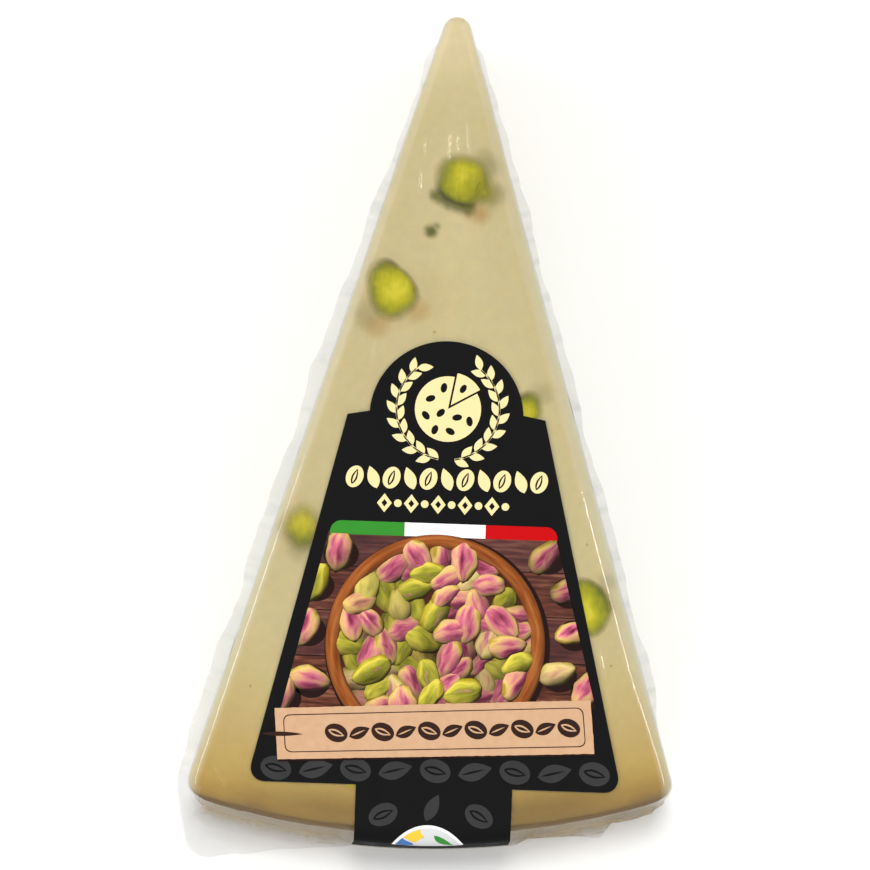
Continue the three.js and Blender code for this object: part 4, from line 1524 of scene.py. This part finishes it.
PICTURE_EDGES = [  # places on the picture's edges and the directions out of it
    ((-picture_half(97, -1), -97, 0), (-1, 0.229, 0)),
    ((picture_half(97, 1), -97, 0), (1, 0.262, 0)),
    ((0, -96.9, 0), (0, 1, 0)),
]
SEAMS = [102.4, 109.9, 117.6]
edges = [PICTURE_TOP, *SEAMS, PICTURE_END]
shadow_ink = ink("picture_shadow_ink", "1B0D0B", "2A1512")
print_plates("plank_gaps", [plate([strip_of_picture(PICTURE_TOP, PICTURE_END)], 0.02)], shadow_ink)
boards = [plate([strip_of_picture(top + 0.1, end - 0.1)]) for top, end in zip(edges, edges[1:])]
planks = print_plates("planks", boards, printed_planks())
set_attribute(planks, "plank_tone", np.repeat([0.5, 0.15, 0.4, 0.0], len(planks.data.vertices) // 4))


def rounded_band(start, end, round_start=False, round_end=False):
    """One field of the three-colour band, with its free top corner rounded."""
    top, bottom, radius = -94.7, -97.0, 1.9
    left = arc_path((start + radius, top - radius), radius, 180, 90, 9) if round_start else [(start, top)]
    right = arc_path((end - radius, top - radius), radius, 90, 0, 9) if round_end else [(end, top)]
    return np.array([*left, *right, (end, bottom), (start, bottom)])


BAND = 0.05
green_ink = ink("green_ink", "328A2A", "3A9431")
white_ink = ink("white_ink", "F4F4F0", "FBFBF8")
red_ink = ink("red_ink", "C00006", "CC020B")
print_plates("band_green", [plate([rounded_band(-18.9, -6.4, round_start=True)], BAND)], green_ink)
print_plates("band_white", [plate([rounded_band(-6.4, 7.2)], BAND)], white_ink)
print_plates("band_red", [plate([rounded_band(7.2, 19.3, round_end=True)], BAND)], red_ink)

# %% [markdown]
# ## The bowl of nuts
# A printed picture has no relief, but its shading is that of round things. So the nuts and the bowl's rim
# are first made at full height, their normals are stored, and then they are pressed flat to about a tenth
# of a millimetre. The ink's colour reads the stored normal, as if the picture's light came from upper left.

# %% Finish of the printed nuts
PRESSED = 0.033  # printed height per millimetre of drawn height
PICTURE_LIGHT = Vector((-0.42, 0.55, 0.72)).normalized()


def painted_light(tree, dark, bright):
    """How light a drawn surface is in the picture: from its stored normal and its drawn height."""
    normal = add(tree, "Attribute", attribute_name="drawn_normal").outputs["Vector"]
    lit = add(tree, "VectorMath", {0: normal, 1: PICTURE_LIGHT}, operation="DOT_PRODUCT").outputs["Value"]
    limits = {"Value": lit, "From Min": -0.1, "From Max": 0.95, "To Min": dark, "To Max": bright}
    shade = add(tree, "MapRange", limits)
    height = add(tree, "Attribute", attribute_name="drawn_height").outputs["Fac"]
    limits = {"Value": height, "From Min": 1.2, "From Max": 4.1, "To Min": 0.08, "To Max": 1.0}
    return add(tree, "Math", {0: shade, 1: add(tree, "MapRange", limits)}, operation="MULTIPLY")


def printed_nuts():
    """A photograph of shelled pistachios: pink to purple skins over yellow-green flesh."""
    material, tree = new_material("printed_nuts")
    across, along, pick = (
        add(tree, "Attribute", attribute_name=name).outputs["Fac"]
        for name in ("nut_across", "nut_along", "pick")
    )
    each = add(tree, "Math", {0: pick, 1: 40.0}, operation="MULTIPLY")
    on_nut = add(tree, "CombineXYZ", {"X": along, "Y": across, "Z": each})
    stretched = add(tree, "Mapping", {"Vector": on_nut, "Scale": (0.6, 1.15, 1)})
    blotches = add(tree, "TexNoise", {"Vector": stretched, "Scale": 1.3, "Detail": 2.0})
    fine = add(tree, "TexNoise", {"Vector": stretched, "Scale": 4.0, "Detail": 2.0})
    rim = add(tree, "Math", {0: across, 1: across}, operation="MULTIPLY")
    end = add(tree, "Math", {0: along, 1: along, 2: rim}, operation="MULTIPLY_ADD")
    patch = add(tree, "Math", {0: blotches, 1: 1.5}, operation="MULTIPLY")
    skin = add(tree, "Math", {0: end, 1: -0.5, 2: patch}, operation="MULTIPLY_ADD")
    streaked = add(tree, "Math", {0: fine, 1: 0.35, 2: skin}, operation="MULTIPLY_ADD")
    pink_share = add(tree, "MapRange", {"Value": streaked, "From Min": 0.2, "From Max": 1.25})
    pink_to_purple = "A88C34 D6B468 D29476 C26478 98405A 5A1C30".split()
    green_to_pink = "A09020 CEBE48 ABA434 828224 B88A6C 98505A".split()
    cream_to_pink = "B09A4A D8C07C C8A070 A8646C".split()
    stops = list(zip((0.0, 0.2, 0.42, 0.6, 0.78, 1.0), pink_to_purple))
    tone = add(tree, "ValToRGB", {"Fac": pink_share}, stops)
    for places, colours, low, high in (
        ((0.0, 0.3, 0.55, 0.8, 0.93, 1.0), green_to_pink, 0.64, 0.68),
        ((0.0, 0.45, 0.75, 1.0), cream_to_pink, 0.92, 0.95),
    ):
        kind = add(tree, "ValToRGB", {"Fac": pink_share}, list(zip(places, colours)))
        is_kind = add(tree, "MapRange", {"Value": pick, "From Min": low, "From Max": high})
        tone = add(tree, "Mix", {"Factor": is_kind, "A": tone, "B": kind}, data_type="RGBA")
    light = painted_light(tree, 0.08, 1.42)
    return varnished(material, add(tree, "VectorMath", {0: tone, 1: light}, operation="MULTIPLY"))


# %% Geometry Nodes: a scatter of nuts


def nut_mesh():
    """One shelled pistachio at true size: an oval with a blunt end, a pointed end and a crease."""
    length, width, height = 6.9, 4.3, 3.0
    shares = np.linspace(0, 1, 15)[1:-1]
    turns = np.linspace(0, 2 * math.pi, 20, endpoint=False)
    share, turn = (grid.ravel() for grid in np.meshgrid(shares, turns, indexing="ij"))
    girth = np.sin(math.pi * share**0.94) ** 0.5 * (1.05 - 0.13 * share)
    off_seam = np.abs((turn - math.pi / 2 + 0.5 + math.pi) % (2 * math.pi) - math.pi)
    dented = girth * (1 - 0.16 * np.exp(-((off_seam / 0.22) ** 2))) / 2
    sides = [(share - 0.5) * length, width * dented * np.cos(turn), height * dented * np.sin(turn)]
    points = [*np.column_stack(sides), (-length / 2, 0, 0), (length / 2, 0, 0)]
    along, across = [*(2 * share - 1), -1, 1], [*np.cos(turn), 0, 0]
    faces = [(face[0], *face[:0:-1]) for face in closed_tube(len(turns), len(shares))]
    return points, faces, along, across


def build_scatter_tree():
    """The tree that heaps nuts on an area and at loose points, stores their light and presses them flat."""
    inputs = {"Nut": "Object", "Distance": "Float", "Seed": "Int", "Pressed": "Float"}
    tree, given, made = new_tree("scattered_nuts", inputs)
    area, apart, seed = (given.outputs[name] for name in ("Geometry", "Distance", "Seed"))
    density = {"Mesh": area, "Distance Min": apart, "Density Max": 20.0, "Seed": seed}
    spread = add(tree, "DistributePointsOnFaces", density, distribute_method="POISSON")
    neighbours = add(tree, "InputMeshVertexNeighbors")
    loose = add(tree, "Math", {0: neighbours.outputs["Face Count"], 1: 0.5}, operation="LESS_THAN")
    single = add(tree, "MeshToPoints", {"Mesh": area, "Selection": loose})
    places = add(tree, "JoinGeometry")
    tree.links.new(spread.outputs["Points"], places.inputs[0])
    tree.links.new(output_of(single), places.inputs[0])
    index = add(tree, "InputIndex")

    def random(low, high, shift):
        own_seed = add(tree, "Math", {0: seed, 1: float(shift)}, operation="ADD")
        return add(tree, "RandomValue", {"Min": low, "Max": high, "ID": index, "Seed": own_seed})

    lift = add(tree, "CombineXYZ", {"Z": random(0.8, 3.6, 1)})
    stacked = add(tree, "SetPosition", {"Geometry": places, "Offset": lift})
    turns = {"X": random(-0.5, 0.5, 2), "Y": random(-0.25, 0.25, 3), "Z": random(0, 2 * math.pi, 4)}
    rotation = add(tree, "CombineXYZ", turns)
    shape = add(tree, "ObjectInfo", {"Object": given.outputs["Nut"]}).outputs["Geometry"]
    placed = {"Points": stacked, "Instance": shape, "Rotation": rotation, "Scale": random(0.86, 1.12, 5)}
    nuts = add(tree, "InstanceOnPoints", placed)
    pick = {"Geometry": nuts, "Name": "pick", "Value": random(0, 1, 6)}
    picked = add(tree, "StoreNamedAttribute", pick, domain="INSTANCE")
    real = add(tree, "RealizeInstances", {"Geometry": picked})
    warp = add(tree, "TexNoise", {"Scale": 0.35, "Detail": 1.0})
    centred = add(tree, "VectorMath", {0: warp.outputs["Color"], 1: (-0.5, -0.5, -0.5)}, operation="ADD")
    sway = add(tree, "VectorMath", {0: centred, 1: (1.2, 1.2, 0.6)}, operation="MULTIPLY")
    bent = add(tree, "SetPosition", {"Geometry": real, "Offset": sway})
    normal = {"Geometry": bent, "Name": "drawn_normal", "Value": add(tree, "InputNormal")}
    with_normal = add(tree, "StoreNamedAttribute", normal, data_type="FLOAT_VECTOR")
    split = add(tree, "SeparateXYZ", {"Vector": add(tree, "InputPosition")})
    height = {"Geometry": with_normal, "Name": "drawn_height", "Value": split.outputs["Z"]}
    with_height = add(tree, "StoreNamedAttribute", height)
    flat_z = add(tree, "Math", {0: split.outputs["Z"], 1: given.outputs["Pressed"]}, operation="MULTIPLY")
    flat = add(tree, "CombineXYZ", {"X": split.outputs["X"], "Y": split.outputs["Y"], "Z": flat_z})
    pressed = add(tree, "SetPosition", {"Geometry": with_height, "Position": flat})
    dressed = add(tree, "SetMaterial", {"Geometry": pressed, "Material": given.outputs["Material"]})
    tree.links.new(output_of(dressed), made.inputs[0])
    return tree


# %% The bowl and its nuts
BOWL = (-0.6, -115.0)
BOWL_OUTER = 18.4
BOWL_INNER = 16.0


def trimmed_disc(centre, radius, lowest, steps=90):
    """A disc cut off by a level line."""
    points = arc_path(centre, radius, 0, 360 - 360 / steps, steps)
    points[:, 1] = np.maximum(points[:, 1], lowest)
    keep = [i for i in range(steps) if np.linalg.norm(points[i] - points[i - 1]) > 1e-6]
    return points[keep]


bowl_shadow = trimmed_disc((BOWL[0] + 0.35, BOWL[1] - 0.3), BOWL_OUTER + 0.45, -PICTURE_END)
print_plates("bowl_shadow", [plate([bowl_shadow], 0.038)], shadow_ink)
bowl_dark = ink("bowl_inside_ink", "3B1A10", "55291A", 3.0)
print_plates("bowl_inside", [plate([trimmed_disc(BOWL, BOWL_OUTER - 0.5, -PICTURE_END)], 0.045)], bowl_dark)


def printed_bowl():
    """A photograph of a turned olive-wood bowl's rim: orange brown, with streaks along it."""
    material, tree = new_material("printed_bowl")
    place = add(tree, "Attribute", attribute_name="along_rim").outputs["Vector"]
    long_place = add(tree, "Mapping", {"Vector": place, "Scale": (0.12, 1, 1)})
    streaks = add(tree, "TexNoise", {"Vector": long_place, "Scale": per_mm(0.8), "Detail": 3.0})
    stops = [(0.3, "8A4519"), (0.5, "AE5E28"), (0.7, "C67A3C")]
    wood = add(tree, "ValToRGB", {"Fac": streaks}, stops)
    light = painted_light(tree, 0.3, 0.98)
    return varnished(material, add(tree, "VectorMath", {0: wood, 1: light}, operation="MULTIPLY"))


def bowl_rim():
    """The bowl's rim as an arc with a round section, drawn at full height and pressed flat."""
    lowest = math.degrees(math.asin((-PICTURE_END - BOWL[1]) / BOWL_OUTER))
    turns = np.radians(np.linspace(lowest, 180 - lowest, 130))
    section = np.linspace(0, 2 * math.pi, 12, endpoint=False)
    radius, half = (BOWL_OUTER + BOWL_INNER) / 2, (BOWL_OUTER - BOWL_INNER) / 2
    turn, angle = (grid.ravel() for grid in np.meshgrid(turns, section, indexing="ij"))
    out, height = radius + half * np.cos(angle), 2.9 + np.sin(angle)
    points = np.column_stack([BOWL[0] + out * np.cos(turn), BOWL[1] + out * np.sin(turn), height * PRESSED])
    normals = np.column_stack([np.cos(turn) * np.cos(angle), np.sin(turn) * np.cos(angle), np.sin(angle)])
    places = at_height(np.column_stack([radius * turn, out]), 0) * MM
    count = len(section)
    last = (len(turns) - 1) * count
    faces = [*tube(count, len(turns)), range(count), range(last + count - 1, last - 1, -1)]
    return points, faces, height, {"drawn_normal": normals, "along_rim": places}


rim_points, rim_faces, rim_heights, rim_vectors = bowl_rim()
rim = new_object("bowl_rim", rim_points, rim_faces, [printed_bowl()])
for name, vectors in rim_vectors.items():
    stored = rim.data.attributes.new(name, "FLOAT_VECTOR", "POINT")
    stored.data.foreach_set("vector", np.array(vectors, np.float32).ravel())
set_attribute(rim, "drawn_height", rim_heights)
lay_on_label(rim)

nut_points, nut_faces, nut_along, nut_across = nut_mesh()
nut = new_object("nut", nut_points, nut_faces)
set_attribute(nut, "nut_along", nut_along)
set_attribute(nut, "nut_across", nut_across)
HEAP_RADIUS, HEAP_END = 14.9, -126.2
heap_loop = trimmed_disc(BOWL, HEAP_RADIUS, HEAP_END, 48)
LOOSE_NUTS = [
    (-17.3, -99.9), (-21.2, -105.4), (-22.3, -113.0), (-21.4, -121.6), (-26.0, -124.4),
    (17.4, -99.6), (21.2, -105.2), (22.3, -112.3), (19.9, -119.3), (24.8, -121.9),
]
heap = new_object("nuts", at_height([*heap_loop, *LOOSE_NUTS], 0), triangulate([heap_loop]))
nut_shadows = [plate([oval(6.0, 5.2) + (x + 0.4, y - 0.5)], 0.04) for x, y in LOOSE_NUTS]
print_plates("nut_shadows", nut_shadows, shadow_ink, PICTURE_EDGES)
values = {"Nut": nut, "Distance": 2.7, "Seed": 9, "Pressed": PRESSED, "Material": printed_nuts()}
nuts_mesh = run_tree(build_scatter_tree(), heap, values)
for place, outward in PICTURE_EDGES:
    trim(nuts_mesh, place, outward)
nuts = linked("nuts", nuts_mesh)
lay_on_label(nuts)
print("nuts in the picture:", len(nuts_mesh.vertices) // len(nut_points))

# %% [markdown]
# ## The kraft tag
# A strip of kraft board is printed across the picture's foot: rough edges, a thin drawn border, a cord
# through its left end, and a row of dark nuts and leaves in the place of a name.

# %% The tag
TAG_CORNERS = [(-27.0, -126.6), (-26.2, -135.1), (26.5, -132.4), (25.6, -123.5)]
TAG = 0.2
TAG_PRINT = (TAG + 0.02, TAG - 0.01)  # top and foot of what is printed on it
TAB_PRINT = 0.045


def rough_line(start, end, step, sway, seed):
    """Points along a line, with small random steps to its sides."""
    start, end = np.array(start, float), np.array(end, float)
    along = (end - start) / np.linalg.norm(end - start)
    side = np.array([-along[1], along[0]])
    count = max(2, int(np.linalg.norm(end - start) / step))
    shares = np.linspace(0, 1, count, endpoint=False)
    points = start + shares[:, None] * (end - start)
    coarse, fine = (np.array([noise.noise(Vector((*(size * p), seed))) for p in points]) for size in (1, 3))
    return points + side * ((coarse + 0.5 * fine) * sway)[:, None]


def rounded_corners(corners, radius, steps=7):
    """A convex outline with its corners rounded."""
    corners = np.array(corners, float)
    points = []
    for before, corner, after in zip(np.roll(corners, 1, 0), corners, np.roll(corners, -1, 0)):
        first = corner + (before - corner) / np.linalg.norm(before - corner) * radius
        last = corner + (after - corner) / np.linalg.norm(after - corner) * radius
        for share in np.linspace(0, 1, steps):
            points.append((1 - share) ** 2 * first + 2 * share * (1 - share) * corner + share**2 * last)
    return np.array(points)


def tag_place(share_x, share_y):
    """A place on the tag from its shares across and down."""
    top_left, bottom_left, bottom_right, top_right = (np.array(corner) for corner in TAG_CORNERS)
    top = top_left + share_x * (top_right - top_left)
    bottom = bottom_left + share_x * (bottom_right - bottom_left)
    return top + share_y * (bottom - top)


kraft_ink = ink("kraft_ink", "C99F79", "DBB28D", 1.2)
tag_dark = ink("dark_brown_ink", "2C1A14", "3A241C")
tag_loop = np.concatenate(
    [rough_line(TAG_CORNERS[i], TAG_CORNERS[(i + 1) % 4], 0.5, 0.07, i) for i in range(4)]
)
print_plates("tag_shadow", [plate([tag_loop + (0.1, -0.35)], TAG - 0.03)], shadow_ink)
print_plates("tag", [plate([tag_loop], TAG)], kraft_ink)
border = [tag_place(0.025, 0.13), tag_place(0.025, 0.87), tag_place(0.975, 0.87), tag_place(0.975, 0.13)]
LINE = 0.16  # width of the drawn border
outer = rounded_corners(border, 1.3)
inner = rounded_corners([place + LINE * np.sign(tag_place(0.5, 0.5) - place) for place in border], 1.2)
print_plates("tag_border", [plate([outer, inner], *TAG_PRINT)], tag_dark)
cord = turned(leaf(6.9, 0.75), 1, (-29.0, -130.9))
print_plates("cord", [plate([cord], TAG + 0.03, TAG - 0.05)], tag_dark)


def nut_icon(length, width, high, low):
    """A nut in its open shell, as an icon long along x: the shell with its opening, and the kernel in it."""
    opening = leaf(length * 0.74, width * 0.36) - (length * 0.37, 0)
    kernel = leaf(length * 0.56, width * 0.16) - (length * 0.28, 0)
    return [plate([oval(length, width), opening], high, low), plate([kernel], high, low)]


def leaf_icon(length, width, high, low):
    """A leaf with its midrib left open, as an icon long along x."""
    rib = leaf(length * 0.7, width * 0.13) - (length * 0.4, 0)
    return [plate([leaf(length, width) - (length / 2, 0), rib], high, low)]


tag_nut = motif_object("tag_nut", nut_icon(3.9, 3.0, *TAG_PRINT))
tag_leaf = motif_object("tag_leaf", leaf_icon(3.7, 2.0, *TAG_PRINT))
tag_row = [tag_place(share, 0.51) for share in np.linspace(0.19, 0.925, 12)]
print_row("tag_row", tag_row, tag_nut, tag_leaf, 3.86, 22, tag_dark)

# %% [markdown]
# ## Tone on tone, and the badge
# The black ground has a pattern in dark grey that shows under the tag and on the tab. A round badge sits on
# the rind's edge, half on the wall. Both are laid over the bend, so their plates get points all through.

# %% The grey pattern
grey_ink = ink("dark_grey_ink", "303031", "3E3E3F")
strip_nut = motif_object("strip_nut", nut_icon(5.2, 3.9, INK, -0.02))
strip_leaf = motif_object("strip_leaf", leaf_icon(5.8, 3.0, INK, -0.02))
strip_line = [(x, -136.5 + 0.014 * (x + 26)) for x in np.linspace(-26.4, 26.6, 12)]
print_row("strip_pattern", strip_line, strip_nut, strip_leaf, 6.62, 14, grey_ink)


def bent_icon(plates, x, down, degrees):
    """An icon's plates, turned and moved to their place on the tab."""
    place = (x, -down)
    return [(np.column_stack([turned(p[:, :2], degrees, place), p[:, 2]]), faces) for p, faces in plates]


TAB_ICONS = [(-8.3, 143.6, 25), (7.6, 143.4, -30), (-5.4, 164.5, 80), (6.5, 166.5, 20)]
TAB_LEAVES = [(-0.2, 142.2, 65), (-10.4, 154.6, 100), (10.4, 154.9, 80), (9.4, 161.4, 30), (-10.0, 161.2, 60)]
sprigs = []
for x, down, degrees in TAB_ICONS:
    opening = leaf(3.7, 1.3) - (1.85, 0)
    shell = plate([oval(5.0, 3.6), opening], TAB_PRINT, bends=True)
    sprigs += bent_icon([shell, plate([leaf(2.8, 0.6) - (1.4, 0)], TAB_PRINT, bends=True)], x, down, degrees)
for x, down, degrees in TAB_LEAVES:
    sprigs += bent_icon([plate([leaf(4.8, 2.2) - (2.4, 0)], TAB_PRINT, bends=True)], x, down, degrees)
print_plates("tab_pattern", sprigs, grey_ink)

# %% The badge
BADGE = (-0.7, -151.1)
BADGE_RADIUS = 6.0
pale_grey = ink("pale_grey_ink", "D2D4D4", "DCDDDC")
blue_ink = ink("blue_ink", "3F6FAE", "4A7DBD")
yellow_ink = ink("yellow_ink", "EEC432", "F5D04A")


def circle(centre, radius, steps=80):
    """A full circle of flat points."""
    return arc_path(centre, radius, 0, 360 - 360 / steps, steps)


sea = np.concatenate([arc_path(BADGE, BADGE_RADIUS - 0.6, 142, 225, 40), [(-2.8, -153.1), (-3.2, -149.4)]])
sun = np.concatenate([arc_path(BADGE, BADGE_RADIUS - 0.6, 104, 140, 26), [(-2.9, -149.2), (-1.3, -147.4)]])
for name, loop, high, colour in (
    ("badge_rim", circle(BADGE, BADGE_RADIUS), 0.04, white_ink),
    ("badge_field", circle(BADGE, BADGE_RADIUS - 0.5), 0.055, pale_grey),
    ("badge_blue", sea, 0.07, blue_ink),
    ("badge_yellow", sun, 0.07, yellow_ink),
    ("badge_leaf", turned(leaf(5.0, 1.5), -48, (0.3, -147.0)), 0.085, green_ink),
):
    print_plates(name, [plate([loop], high, bends=True)], colour)

for helper in (
    long_leaf, bar_leaf, round_nut, small_lozenge, small_dot, nut, tag_nut, tag_leaf, strip_nut, strip_leaf
):
    bpy.data.objects.remove(helper)
print("printed pieces:", len(PRINTS), "triangles:", triangle_count(*PRINTS))

# %% Hand over to the frame
for piece in (cheese, kernels, film, label, *PRINTS):
    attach(piece, "root")
for piece in (film, cheese, kernels):
    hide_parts("pack")
for piece in (label, *PRINTS):
    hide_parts("label")
